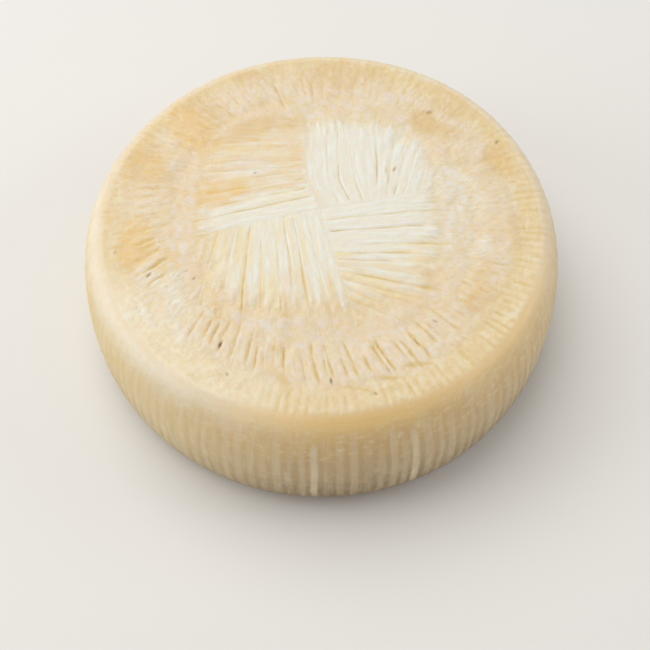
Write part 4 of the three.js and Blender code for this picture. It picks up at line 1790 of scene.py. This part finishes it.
@dataclass(frozen=True)
class RindFinish:
    """The rind: ivory crests, straw hollows, tan and amber patches, a pinkish bloom, and a buttery side.

    Some light and shade is painted in: shade at the foot and in the deepest slits, a warm bounce on the front
    shoulder, light on the left and right flanks, highlights on crests, and glints on the side.
    """

    name: str = "goat_cheese_rind"
    furrows: tuple[Furrow, ...] = MouldMarks().furrows
    furrow_seed: float = MouldMarks().seed
    cream: Tone = tone(234, 219, 196)
    straw: Tone = tone(232, 211, 172)
    rim: Tone = tone(231, 211, 168)
    rim_straw: Tone = tone(228, 203, 154)
    butter: Tone = tone(241, 228, 201)
    ivory: Tone = tone(236, 235, 225)
    lemon: Tone = tone(240, 224, 176)
    # Pale ridge tops of pleats and bars: partly pale bloom, partly a painted highlight.
    crest: Tone = tone(240, 229, 202)
    chalk: Tone = tone(232, 222, 200, 0.8)
    blush: Tone = tone(234, 215, 192)
    haze: Tone = tone(236, 228, 200)
    crumb: Tone = tone(244, 236, 214)
    straw_crumb: Tone = tone(222, 200, 152)
    tan: Tone = tone(223, 194, 146)
    amber: Tone = tone(234, 196, 128)
    bloom: Tone = tone(231, 217, 204)
    honey: Tone = tone(229, 200, 136)
    line: Tone = tone(216, 187, 118)
    # Painted shade: dark brown at the bottom of the deepest slits stands for the shade in them.
    slit_shade: Tone = tone(150, 120, 66)
    # The golden shoulder at the front is a painted warm bounce and painted shade; the turned band is
    # lightened with painted light against the rendered shade there; dull_shoulder is the rind's own colour
    # elsewhere.
    shoulder: Tone = tone(216, 185, 130, 0.87)
    turned_shoulder: Tone = tone(216, 186, 129, 0.81)
    dull_shoulder: Tone = tone(218, 198, 160)
    upper_side: Tone = tone(197, 167, 118, 0.75)
    side: Tone = tone(179, 155, 119, 0.76)
    # Painted shade: the foot is darker than the rind, standing in for the shade low on the side, where little
    # light is bounced up from the floor.
    foot: Tone = tone(149, 126, 97, 0.97)
    # The foot's edge: a yellow, translucent band of the rind, darkened further with painted contact shade.
    yellow_foot_edge_and_contact_shade: Tone = tone(152, 125, 78, 0.94)
    # Pale flank colours: milky rind lightened with painted light from the sides.
    side_pale_and_lit: Tone = tone(242, 232, 211)
    side_pale_and_lit_low: Tone = tone(231, 209, 159)
    rib: Tone = tone(202, 186, 156, 0.72)
    # Pale horizontal dashes below the shoulder: partly smears on the rind, partly painted glints.
    smear_and_glint: Tone = tone(214, 194, 160, 0.76)
    olive: Tone = tone(128, 96, 18)
    roughness: float = 0.56
    subsurface: float = 0.35
    subsurface_radius: tuple[float, float, float] = (1.0, 0.62, 0.3)
    subsurface_scale_metres: float = 0.0035
    ior: float = 1.44
    specular_level: float = 0.36
    shoulder_roughness: float = 0.36
    roughness_limits: Limits = (0.48, 0.66)
    wear_edge: Limits = (0.3, 0.7)
    bump_metres: float = 0.00035
    bump_strength: float = 0.5
    relief_share: float = 0.6
    mottle: Noise = Noise(0.11, 2.0, 4.0)
    fleck: Noise = Noise(0.5, 3.0)
    wool: Noise = Noise(0.6, 4.0)
    felt: Noise = Noise(0.45, 33.0, 4.0, 0.7)
    fibre: Noise = Noise(0.8, 5.0)
    cloud: Noise = Noise(0.22, 21.0)
    broad: Noise = Noise(0.35, 5.0, 2.0, 0.5)
    swept: Noise = Noise(0.22, 5.0, 2.0, 0.5)
    golden: Noise = Noise(0.3, 17.0, 2.0)
    long_cells: Noise = Noise(0.5, 31.0, 4.0, 0.7)
    cells: Noise = Noise(0.5, 35.0, 3.0, 0.65)
    hair: Noise = Noise(0.42, 41.0, 2.0, 0.5)
    dash: Noise = Noise(0.6, 15.0, 1.0, 0.4)
    stroke: Noise = Noise(0.8, 19.0, 3.0, 0.65)
    blotch: Noise = Noise(0.35, 61.0)
    wear: Noise = Noise(0.3, 8.0, 3.0, 0.5)
    pore: Noise = Noise(1.3, 9.0)
    wool_relief: Noise = Noise(1.3, 10.0)
    fibre_relief: Noise = Noise(1.3, 11.0)
    rim_stain: Stain = Stain(Trace.RIM, 0.9, (0.2, 0.8))
    butter_stain: Stain = Stain(Trace.BUTTER, 1.4, (0.0, 0.8), 0.85)
    tan_stain: Stain = Stain(Trace.TAN, 1.8, (0.0, 0.95), 0.9)
    amber_stain: Stain = Stain(Trace.AMBER, 2.6, (0.1, 0.9))
    bloom_stain: Stain = Stain(Trace.BLOOM, 1.9, (0.05, 0.75), 0.85)
    woven_bloom_tearing: float = 0.6
    felt_share: float = 0.4
    woven_folds: float = 0.65
    mottle_in_tears: float = 0.4
    mottle_in_straw: float = 0.5
    mottle_in_ivory: float = 0.3
    patchy: Limits = (0.4, 0.6)
    blush_cloud: Change = (0.52, 0.68, 0.0, 0.6)
    haze_cloud: Change = (0.48, 0.32, 0.0, 0.6)
    streaky: Change = (0.35, 0.6, 0.45, 0.85)
    bloom_on_folds: Change = (0.0, 0.6, 1.0, 0.2)
    bloom_off_stains: Change = (0.0, 0.9, 0.15, 1.0)
    ivory_tearing: Limits = (2.0, 1.1)
    ivory_edge: Limits = (0.05, 0.65)
    ivory_on_folds: Change = (0.0, 0.3, 1.0, 0.75)
    woven_ivory: float = 0.75
    lemon_streaks: Limits = (0.46, 0.62)
    honey_depth: Limits = (0.03, 0.5)
    honey_on_ivory: Change = (0.4, 1.0, 1.0, 0.3)
    honey_in_hollows: float = 0.55
    honey_in_folds: float = 0.35
    streak_strength: float = 0.8
    rim_crumbs: float = 0.5
    bloom_crumbs: float = 0.3
    pale_crumbs: Limits = (0.51, 0.6)
    pale_crumb_strength: float = 0.65
    straw_crumbs: Limits = (0.49, 0.4)
    straw_crumb_strength: float = 0.5
    hair_half_width: float = 0.035
    hair_strength: float = 0.32
    side_mottle: float = 0.25
    turn_zone: Limits = (0.01, 0.05)
    upper_zone: Limits = (0.06, 0.24)
    side_zone: Limits = (0.16, 0.45)
    # Where the painted shade at the foot comes in, and the painted contact shade on the foot's edge.
    foot_zone: Limits = (0.4, 0.8)
    foot_edge_zone: Limits = (0.86, 0.97)
    foot_edge_strength: float = 0.6
    dash_stretch: tuple[float, float, float] = (0.45, 0.45, 2.8)
    dash_edge: Limits = (0.46, 0.72)
    dash_wear: Limits = (0.35, 0.6)
    dash_start: Limits = (0.03, 0.1)
    dash_end: Change = (0.22, 0.4, 1.0, 0.25)
    dash_strength: float = 0.75
    stroke_stretch: tuple[float, float, float] = (0.7, 0.7, 0.3)
    stroke_start: Limits = (0.05, 0.2)
    light_strokes: Limits = (0.5, 0.7)
    light_stroke_strength: float = 0.2
    dark_strokes: Limits = (0.5, 0.3)
    dark_stroke_strength: float = 0.25
    # How the pale flanks, milky with painted light, fade down the side.
    pale_fade: Change = (0.3, 1.0, 1.0, 0.4)
    pale_wear: Change = (0.25, 0.6, 0.75, 1.0)
    pale_turn: Limits = (0.04, 0.3)
    pale_strength: float = 0.9
    # How far the pale crest, partly a painted highlight, reaches from the ridge.
    crest_edge: Limits = (0.15, 0.4)
    rib_edge: Limits = (0.08, 0.36)
    rib_wear: Change = (0.25, 0.6, 0.6, 1.0)
    rib_fade: Change = (0.6, 0.95, 1.0, 0.4)
    line_swell: Change = (0.35, 0.6, 0.25, 1.1)
    # Where the painted shade in the slits starts, by the line's strength.
    slit_shade_from: Limits = (0.7, 1.1)

    def material(self) -> bpy.types.Material:
        """Builds the material.

        Returns:
            A material that reads Object coordinates and the rind's own values.
        """
        material = bpy.data.materials.new(self.name)
        material.use_nodes = True
        tree = material.node_tree
        tree.nodes.clear()
        write = ShaderWriter(tree)
        place = self._place(write)
        colour = self._colour(write, place)
        surface = write.node("ShaderNodeBsdfPrincipled")
        write.feed(surface.inputs["Base Color"], colour)
        write.feed(surface.inputs["Roughness"], self._roughness(write, place))
        write.feed(surface.inputs["Normal"], self._bump(write, place))
        surface.inputs["Subsurface Weight"].default_value = self.subsurface
        surface.inputs["Subsurface Radius"].default_value = self.subsurface_radius
        surface.inputs["Subsurface Scale"].default_value = self.subsurface_scale_metres
        surface.inputs["IOR"].default_value = self.ior
        surface.inputs["Specular IOR Level"].default_value = self.specular_level
        end = write.node("ShaderNodeOutputMaterial")
        write.feed(end.inputs["Surface"], surface.outputs["BSDF"])
        return material

    @staticmethod
    def _place(write: ShaderWriter) -> Socket:
        """Gives Object coordinates in millimetres."""
        read = write.node("ShaderNodeTexCoord")
        scaled = write.node("ShaderNodeMapping", {"vector_type": "POINT"})
        write.feed(scaled.inputs["Vector"], read.outputs["Object"])
        scaled.inputs["Scale"].default_value = (1.0 / METRES_PER_MM,) * 3
        return scaled.outputs["Vector"]

    def _colour(self, write: ShaderWriter, place: Socket) -> Socket:
        """Writes the colour.

        Args:
            write: The writer of the material's tree.
            place: Object coordinates in millimetres.

        Returns:
            The colour.
        """
        mottle = write.pattern(place, self.mottle)
        fleck = write.pattern(place, self.fleck)
        radial = write.pattern(write.trace(Trace.RING_FLOW), self.wool)
        woven = write.pattern(write.trace(Trace.WOVEN_FLOW), self.wool)
        wool = write.span(write.trace(Trace.WEAVE), 0.0, 1.0, radial, woven)
        felt = write.pattern(place, self.felt)
        wool = write.plus(write.times(wool, 1.0 - self.felt_share), write.times(felt, self.felt_share))
        fibre = write.pattern(write.trace(Trace.STRAND_GRAIN), self.fibre)
        grain = write.span(write.trace(Trace.PINWHEEL), 0.0, 1.0, wool, fibre)
        side = write.trace(Trace.SIDE)
        folds = write.times(write.trace(Trace.CREASE), write.trace(Trace.CRINKLE))
        folds = write.times(folds, write.span(write.trace(Trace.WEAVE), 0.0, 1.0, 1.0, self.woven_folds))

        def ragged(stain: Stain, tearing: Value) -> Socket:
            """Gives a stain a torn edge from the mottle and the grain."""
            share = self.mottle_in_tears
            torn = write.plus(write.times(mottle, share), write.times(grain, 1.0 - share), -0.5)
            return write.span(write.plus(write.trace(stain.trace), write.times(torn, tearing)), *stain.edge)

        share = self.mottle_in_straw
        patchy = write.plus(write.times(mottle, share), write.times(grain, 1.0 - share))
        patchy = write.span(patchy, *self.patchy)
        colour = write.blend(patchy, self.cream, self.straw)
        edge = write.blend(patchy, self.rim, self.rim_straw)
        colour = write.blend(ragged(self.rim_stain, self.rim_stain.tearing), colour, edge)
        stain = self.butter_stain
        colour = write.blend(write.times(ragged(stain, stain.tearing), stain.strength), colour, self.butter)
        cloud = write.pattern(place, self.cloud)
        colour = write.blend(write.span(cloud, *self.blush_cloud), colour, self.blush)
        colour = write.blend(write.span(cloud, *self.haze_cloud), colour, self.haze)
        stain = self.tan_stain
        colour = write.blend(write.times(ragged(stain, stain.tearing), stain.strength), colour, self.tan)
        streaky = write.span(grain, *self.streaky)
        stain = self.amber_stain
        colour = write.blend(write.times(ragged(stain, stain.tearing), streaky), colour, self.amber)
        crests = write.span(folds, *self.bloom_on_folds)
        stained = write.math("MAXIMUM", write.trace(Trace.AMBER), write.trace(Trace.TAN))
        free = write.span(write.math("SUBTRACT", 1.0, stained), *self.bloom_off_stains)
        stain = self.bloom_stain
        tearing = write.span(write.trace(Trace.WEAVE), 0.0, 1.0, stain.tearing, self.woven_bloom_tearing)
        bloom = write.times(ragged(stain, tearing), crests, free, stain.strength)
        colour = write.blend(bloom, colour, self.bloom)
        broad = write.pattern(write.trace(Trace.STRAND_GRAIN), self.broad)
        swept = write.pattern(write.trace(Trace.WOVEN_FLOW), self.swept)
        broad = write.span(write.trace(Trace.PINWHEEL), 0.0, 1.0, swept, broad)
        share = self.mottle_in_ivory
        worn = write.plus(write.times(mottle, share), write.times(broad, 1.0 - share), -0.5)
        tearing = write.span(write.trace(Trace.WEAVE), 0.0, 1.0, *self.ivory_tearing)
        worn = write.plus(write.trace(Trace.IVORY), write.times(worn, tearing))
        veil = write.span(write.trace(Trace.WEAVE), 0.0, 1.0, 1.0, self.woven_ivory)
        pale = write.times(write.span(worn, *self.ivory_edge), write.span(folds, *self.ivory_on_folds), veil)
        colour = write.blend(pale, colour, self.ivory)
        golden = write.pattern(write.trace(Trace.STRAND_GRAIN), self.golden)
        streaks = write.times(write.span(golden, *self.lemon_streaks), write.trace(Trace.LEMON))
        colour = write.blend(streaks, colour, self.lemon)
        strand_hollow = write.span(write.trace(Trace.HOLLOW), *self.honey_depth)
        clean = write.span(write.trace(Trace.IVORY), *self.honey_on_ivory)
        deep = write.plus(
            write.times(strand_hollow, self.honey_in_hollows), write.times(folds, self.honey_in_folds)
        )
        colour = write.blend(write.times(deep, clean), colour, self.honey)
        colour = self._hairs(write, self._crumbs(write, colour, place))
        flank = self._side_colour(write, fleck, mottle)
        colour = write.blend(side, colour, flank)
        colour = self._lines(write, colour)
        colour = write.blend(write.times(write.trace(Trace.STREAK), self.streak_strength), colour, self.line)
        return write.blend(write.trace(Trace.PIT), colour, self.olive)

    def _crumbs(self, write: ShaderWriter, colour: Socket, place: Socket) -> Socket:
        """Mottles the rim of the top with small pale and straw-coloured cells.

        Args:
            write: The writer of the material's tree.
            colour: The colour so far.
            place: Object coordinates in millimetres.

        Returns:
            The mottled colour.
        """
        half = 0.5
        across = write.pattern(write.trace(Trace.WOVEN_FLOW), self.long_cells)
        cells = write.times(across, half)
        cells = write.plus(cells, write.times(write.pattern(place, self.cells), half))
        on_rim = write.times(write.trace(Trace.RIM), self.rim_crumbs)
        share = write.math("MAXIMUM", on_rim, write.trace(Trace.BUTTER))
        share = write.math("MAXIMUM", share, write.times(write.trace(Trace.BLOOM), self.bloom_crumbs))
        pale = write.times(write.span(cells, *self.pale_crumbs), share, self.pale_crumb_strength)
        colour = write.blend(pale, colour, self.crumb)
        dark = write.times(write.span(cells, *self.straw_crumbs), share, self.straw_crumb_strength)
        return write.blend(dark, colour, self.straw_crumb)

    def _hairs(self, write: ShaderWriter, colour: Socket) -> Socket:
        """Draws hair-fine straw lines along the fibres of the crinkled parts.

        Args:
            write: The writer of the material's tree.
            colour: The colour so far.

        Returns:
            The colour with the lines.
        """
        waves = write.pattern(write.trace(Trace.RING_FLOW), self.hair)
        hairs = write.crease(waves, self.hair_half_width)
        hairs = write.times(hairs, write.trace(Trace.CRINKLE), self.hair_strength)
        return write.blend(hairs, colour, self.line)

    def _side_colour(self, write: ShaderWriter, fleck: Socket, mottle: Socket) -> Socket:
        """Writes the side's colour, from the shoulder to the foot, with pale smears.

        Some of it is painted light and shade: a warm bounce and shade make the front shoulder golden, shade
        darkens the side towards the foot, the smears are partly glints, and light pales the left and right
        flanks.

        Args:
            write: The writer of the material's tree.
            fleck: Fine noise.
            mottle: Coarse noise.

        Returns:
            The colour.
        """
        down = write.plus(write.trace(Trace.FOOT), write.times(write.plus(mottle, -0.5), self.side_mottle))
        # Painted warm bounce and shade: the shoulder is golden round the front, with a band of painted light
        # where it turns down.
        top_edge = write.blend(write.trace(Trace.WARM_BOUNCE), self.dull_shoulder, self.shoulder)
        lower_edge = write.blend(write.trace(Trace.WARM_BOUNCE), self.dull_shoulder, self.turned_shoulder)
        top_edge = write.blend(write.span(write.trace(Trace.FOOT), *self.turn_zone), top_edge, lower_edge)
        colour = write.blend(write.span(down, *self.upper_zone), top_edge, self.upper_side)
        colour = write.blend(write.span(down, *self.side_zone), colour, self.side)
        # Painted shade: the side darkens towards the foot, and the yellow foot edge gets a painted contact
        # shade.
        colour = write.blend(write.span(down, *self.foot_zone), colour, self.foot)
        edge = write.times(write.span(write.trace(Trace.FOOT), *self.foot_edge_zone), self.foot_edge_strength)
        colour = write.blend(edge, colour, self.yellow_foot_edge_and_contact_shade)
        # Pale horizontal smears below the shoulder, partly painted glints.
        flat = write.node("ShaderNodeMapping", {"vector_type": "POINT"})
        write.feed(flat.inputs["Vector"], write.trace(Trace.RING_GRAIN))
        flat.inputs["Scale"].default_value = self.dash_stretch
        smears_and_glints = write.span(write.pattern(flat.outputs["Vector"], self.dash), *self.dash_edge)
        smears_and_glints = write.times(smears_and_glints, write.span(fleck, *self.dash_wear))
        upright = write.node("ShaderNodeMapping", {"vector_type": "POINT"})
        write.feed(upright.inputs["Vector"], write.trace(Trace.RING_GRAIN))
        upright.inputs["Scale"].default_value = self.stroke_stretch
        strokes = write.pattern(upright.outputs["Vector"], self.stroke)
        level = write.times(write.span(down, *self.dash_start), write.span(down, *self.dash_end))
        colour = write.blend(write.times(smears_and_glints, level, self.dash_strength), colour, self.smear_and_glint)
        # Painted light on the left and right flanks, over a milky rind.
        pale = write.times(write.trace(Trace.PALE_AND_LIT_SIDE), write.span(down, *self.pale_fade))
        worn = write.times(pale, write.span(fleck, *self.pale_wear))
        milky_and_lit = write.blend(write.span(down, *self.pale_turn), self.side_pale_and_lit, self.side_pale_and_lit_low)
        colour = write.blend(write.times(worn, self.pale_strength), colour, milky_and_lit)
        lower = write.span(down, *self.stroke_start)
        light = write.times(write.span(strokes, *self.light_strokes), lower, self.light_stroke_strength)
        colour = write.blend(light, colour, self.chalk)
        dark = write.times(write.span(strokes, *self.dark_strokes), lower, self.dark_stroke_strength)
        return write.blend(dark, colour, self.upper_side)

    def _lines(self, write: ShaderWriter, colour: Socket) -> Socket:
        """Draws the thin straw lines at the bottom of the furrows, with painted shade in the deepest slits,
        the pale crests of pleats and bars, which are partly a painted highlight, and the pale flute crests.

        Args:
            write: The writer of the material's tree.
            colour: The colour so far.

        Returns:
            The colour with the lines.
        """
        for furrow in self.furrows:
            apart, swell = write.furrow(
                write.trace(furrow.phase),
                write.trace(furrow.width),
                write.trace(furrow.grain),
                furrow.wander,
                self.furrow_seed + furrow.seed,
            )
            wide = write.math("DIVIDE", apart, write.trace(furrow.width))
            # Pale crests, partly bloom and partly a painted highlight on the ridges.
            if furrow.crest_strength:
                crest = write.span(wide, *self.crest_edge)
                crest = write.times(crest, write.trace(furrow.cut), furrow.crest_strength)
                colour = write.blend(crest, colour, self.crest)
            if furrow.name == "Flute":
                blotch = write.pattern(write.trace(furrow.grain), self.blotch)
                patchy = write.span(blotch, *self.rib_wear)
                fading = write.span(write.trace(Trace.FOOT), *self.rib_fade)
                crest = write.times(write.span(wide, *self.rib_edge), write.trace(Trace.RIB), patchy, fading)
                colour = write.blend(crest, colour, self.rib)
            profile = write.span(apart, 0.0, furrow.line_half_width, 1.0, 0.0)
            amount = write.times(profile, write.trace(furrow.cut), write.span(swell, *self.line_swell))
            colour = write.blend(write.times(amount, furrow.line_strength), colour, self.line)
            # Painted shade in the deepest slits of strands and pleats.
            painted_slit_shade = write.times(write.span(amount, *self.slit_shade_from), furrow.line_strength**2)
            colour = write.blend(painted_slit_shade, colour, self.slit_shade)
        return colour

    def _roughness(self, write: ShaderWriter, place: Socket) -> Socket:
        """Writes the roughness, smoother on the shoulder and uneven everywhere."""
        wear = write.pattern(place, self.wear)
        uneven_dull = write.span(wear, *self.wear_edge, *self.roughness_limits)
        shoulder = write.trace(Trace.SHOULDER)
        return write.plus(uneven_dull, write.times(shoulder, self.shoulder_roughness - self.roughness))

    def _bump(self, write: ShaderWriter, place: Socket) -> Socket:
        """Writes the finest relief: pores and hair-fine fibres."""
        pores = write.pattern(place, self.pore)
        radial = write.pattern(write.trace(Trace.RING_FLOW), self.wool_relief)
        woven = write.pattern(write.trace(Trace.WOVEN_FLOW), self.wool_relief)
        wool = write.span(write.trace(Trace.WEAVE), 0.0, 1.0, radial, woven)
        fibre = write.pattern(write.trace(Trace.STRAND_GRAIN), self.fibre_relief)
        hairs = write.span(write.trace(Trace.PINWHEEL), 0.0, 1.0, wool, fibre)
        height = write.plus(write.times(pores, self.relief_share), write.times(hairs, self.relief_share))
        bump = write.node("ShaderNodeBump")
        write.feed(bump.inputs["Height"], height)
        bump.inputs["Strength"].default_value = self.bump_strength
        bump.inputs["Distance"].default_value = self.bump_metres
        return bump.outputs["Normal"]


# ---------------------------------------------------------------- The piece


@dataclass
class CheeseWheel:
    """The whole wheel: one closed piece."""

    name: str = "goat_cheese_wheel"
    layout: SkinLayout = field(default_factory=SkinLayout)
    mould: MouldPrint = field(default_factory=MouldPrint)
    marks: MouldMarks = field(default_factory=MouldMarks)
    finish: RindFinish = field(default_factory=RindFinish)
    clearance_metres: float = 0.00001

    def build(self) -> bpy.types.Object:
        """Builds, presses, dresses and fits the wheel.

        Returns:
            The finished piece.
        """
        skin = self.layout.build()
        traces = self.mould.read(skin)
        blank = self._blank(skin, traces)
        piece = self.marks.apply(blank, self.finish.material(), self.name)
        self._fit(piece)
        return piece

    def _blank(self, skin: Skin, traces: Traces) -> bpy.types.Object:
        """Makes the plain skin a mesh with its traces on it.

        Args:
            skin: The plain skin.
            traces: The values for its points.

        Returns:
            An object in the scene.
        """
        points = np.stack([skin.joined(skin.x), skin.joined(skin.y), skin.joined(skin.z)], axis=-1)
        mesh = bpy.data.meshes.new(f"{self.name}_blank")
        mesh.from_pydata((points * METRES_PER_MM).tolist(), [], skin.face_lists())
        for trace, values in traces.items():
            kind, slot = ("FLOAT_VECTOR", "vector") if trace in GRAINS else ("FLOAT", "value")
            layer = mesh.attributes.new(trace.value, kind, "POINT")
            layer.data.foreach_set(slot, np.asarray(values, dtype=np.float32).ravel())
        mesh.update()
        blank = bpy.data.objects.new(mesh.name, mesh)
        bpy.context.scene.collection.objects.link(blank)
        return blank

    def _fit(self, piece: bpy.types.Object) -> None:
        """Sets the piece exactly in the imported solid's box."""
        low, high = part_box(NODE_NAME)
        mesh = piece.data
        points = np.empty(len(mesh.vertices) * 3, dtype=np.float32)
        mesh.vertices.foreach_get("co", points)
        points = points.reshape(-1, 3)
        mine_low, mine_high = points.min(axis=0), points.max(axis=0)
        target_low = np.array(low) + self.clearance_metres * np.array([1.0, 1.0, 0.0])
        target_high = np.array(high) - self.clearance_metres
        share = (points - mine_low) / (mine_high - mine_low)
        points = target_low + share * (target_high - target_low)
        mesh.vertices.foreach_set("co", points.astype(np.float32).ravel())
        mesh.update()


# ---------------------------------------------------------------- Floor, light and camera


@dataclass(frozen=True)
class SoftLamp:
    """One large soft lamp: its place and aim in metres, its size, its power and its colour."""

    name: str
    place: tuple[float, float, float]
    aim: tuple[float, float, float]
    size: float
    watts: float
    colour: Colour = (1.0, 1.0, 1.0)

    def hang(self) -> None:
        """Puts the lamp in the scene."""
        lamp = bpy.data.lights.new(self.name, "AREA")
        lamp.shape = "DISK"
        lamp.size = self.size
        lamp.energy = self.watts
        lamp.color = self.colour
        holder = bpy.data.objects.new(self.name, lamp)
        holder.location = self.place
        away = np.array(self.aim) - np.array(self.place)
        flat = math.hypot(away[0], away[1])
        holder.rotation_euler = (math.atan2(flat, -away[2]), 0.0, math.atan2(-away[0], away[1]))
        bpy.context.scene.collection.objects.link(holder)


@dataclass(frozen=True)
class Studio:
    """A plain pale floor, soft lamps, a pale surround, and the camera at the photograph's angle."""

    floor_half_metres: float = 2.5
    floor_drop: float = 0.0001
    floor_scale: float = 6.0
    floor_shade: float = 0.97
    floor_roughness: float = 0.85
    clip: Limits = (0.02, 20.0)
    floor_tone: Tone = tone(236, 234, 230)
    surround: Colour = (1.0, 0.99, 0.97)
    surround_strength: float = 0.42
    camera_place: tuple[float, float, float] = (0.00153, -0.26319, 0.4105)
    camera_tilt: float = 30.87
    lens: float = 54.43
    lamps: tuple[SoftLamp, ...] = (
        SoftLamp("key", (-0.6, 0.6, 1.7), (0.0, 0.0, 0.03), 2.0, 22.0, (1.0, 0.99, 0.975)),
        SoftLamp("left_fill", (-1.1, -0.1, 0.5), (0.0, 0.0, 0.03), 0.7, 3.0),
        SoftLamp("right_fill", (1.1, 0.1, 0.6), (0.0, 0.0, 0.03), 0.7, 2.2),
    )

    def set_up(self) -> None:
        """Builds the floor, hangs the lamps and places the camera."""
        self._floor()
        for lamp in self.lamps:
            lamp.hang()
        world = bpy.data.worlds.new("surround")
        world.use_nodes = True
        background = world.node_tree.nodes["Background"]
        background.inputs["Color"].default_value = (*self.surround, 1.0)
        background.inputs["Strength"].default_value = self.surround_strength
        scene = bpy.context.scene
        scene.world = world
        scene.view_settings.view_transform = "Standard"
        scene.camera = self._camera()

    def _floor(self) -> bpy.types.Object:
        """Makes the floor: one pale sheet just under the wheel."""
        half = self.floor_half_metres
        corners = [(-half, -half, 0.0), (half, -half, 0.0), (half, half, 0.0), (-half, half, 0.0)]
        mesh = bpy.data.meshes.new("floor")
        mesh.from_pydata([(x, y, -self.floor_drop) for x, y, _ in corners], [], [(0, 1, 2, 3)])
        material = bpy.data.materials.new("pale_floor")
        material.use_nodes = True
        write = ShaderWriter(material.node_tree)
        surface = material.node_tree.nodes["Principled BSDF"]
        read = write.node("ShaderNodeTexCoord")
        grain = write.noise(read.outputs["Object"], self.floor_scale, 1.0, 3.0)
        darker = tuple(self.floor_shade * channel for channel in self.floor_tone[:3]) + (1.0,)
        write.feed(surface.inputs["Base Color"], write.blend(grain, self.floor_tone, darker))
        surface.inputs["Roughness"].default_value = self.floor_roughness
        mesh.materials.append(material)
        floor = bpy.data.objects.new("floor", mesh)
        bpy.context.scene.collection.objects.link(floor)
        return floor

    def _camera(self) -> bpy.types.Object:
        """Places the camera."""
        camera = bpy.data.cameras.new("camera")
        camera.lens = self.lens
        camera.clip_start, camera.clip_end = self.clip
        holder = bpy.data.objects.new("camera", camera)
        holder.location = self.camera_place
        holder.rotation_euler = (math.radians(self.camera_tilt), 0.0, 0.0)
        bpy.context.scene.collection.objects.link(holder)
        return holder


def main() -> None:
    """Loads the frame, builds the wheel, and sets up the studio."""
    logging.basicConfig(level=logging.INFO, format="%(message)s")
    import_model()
    piece = CheeseWheel().build()
    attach(piece, "root")
    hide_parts(NODE_NAME)
    log.info("%s: %d points, %d faces", piece.name, len(piece.data.vertices), len(piece.data.polygons))
    Studio().set_up()


if __name__ == "__main__":
    main()
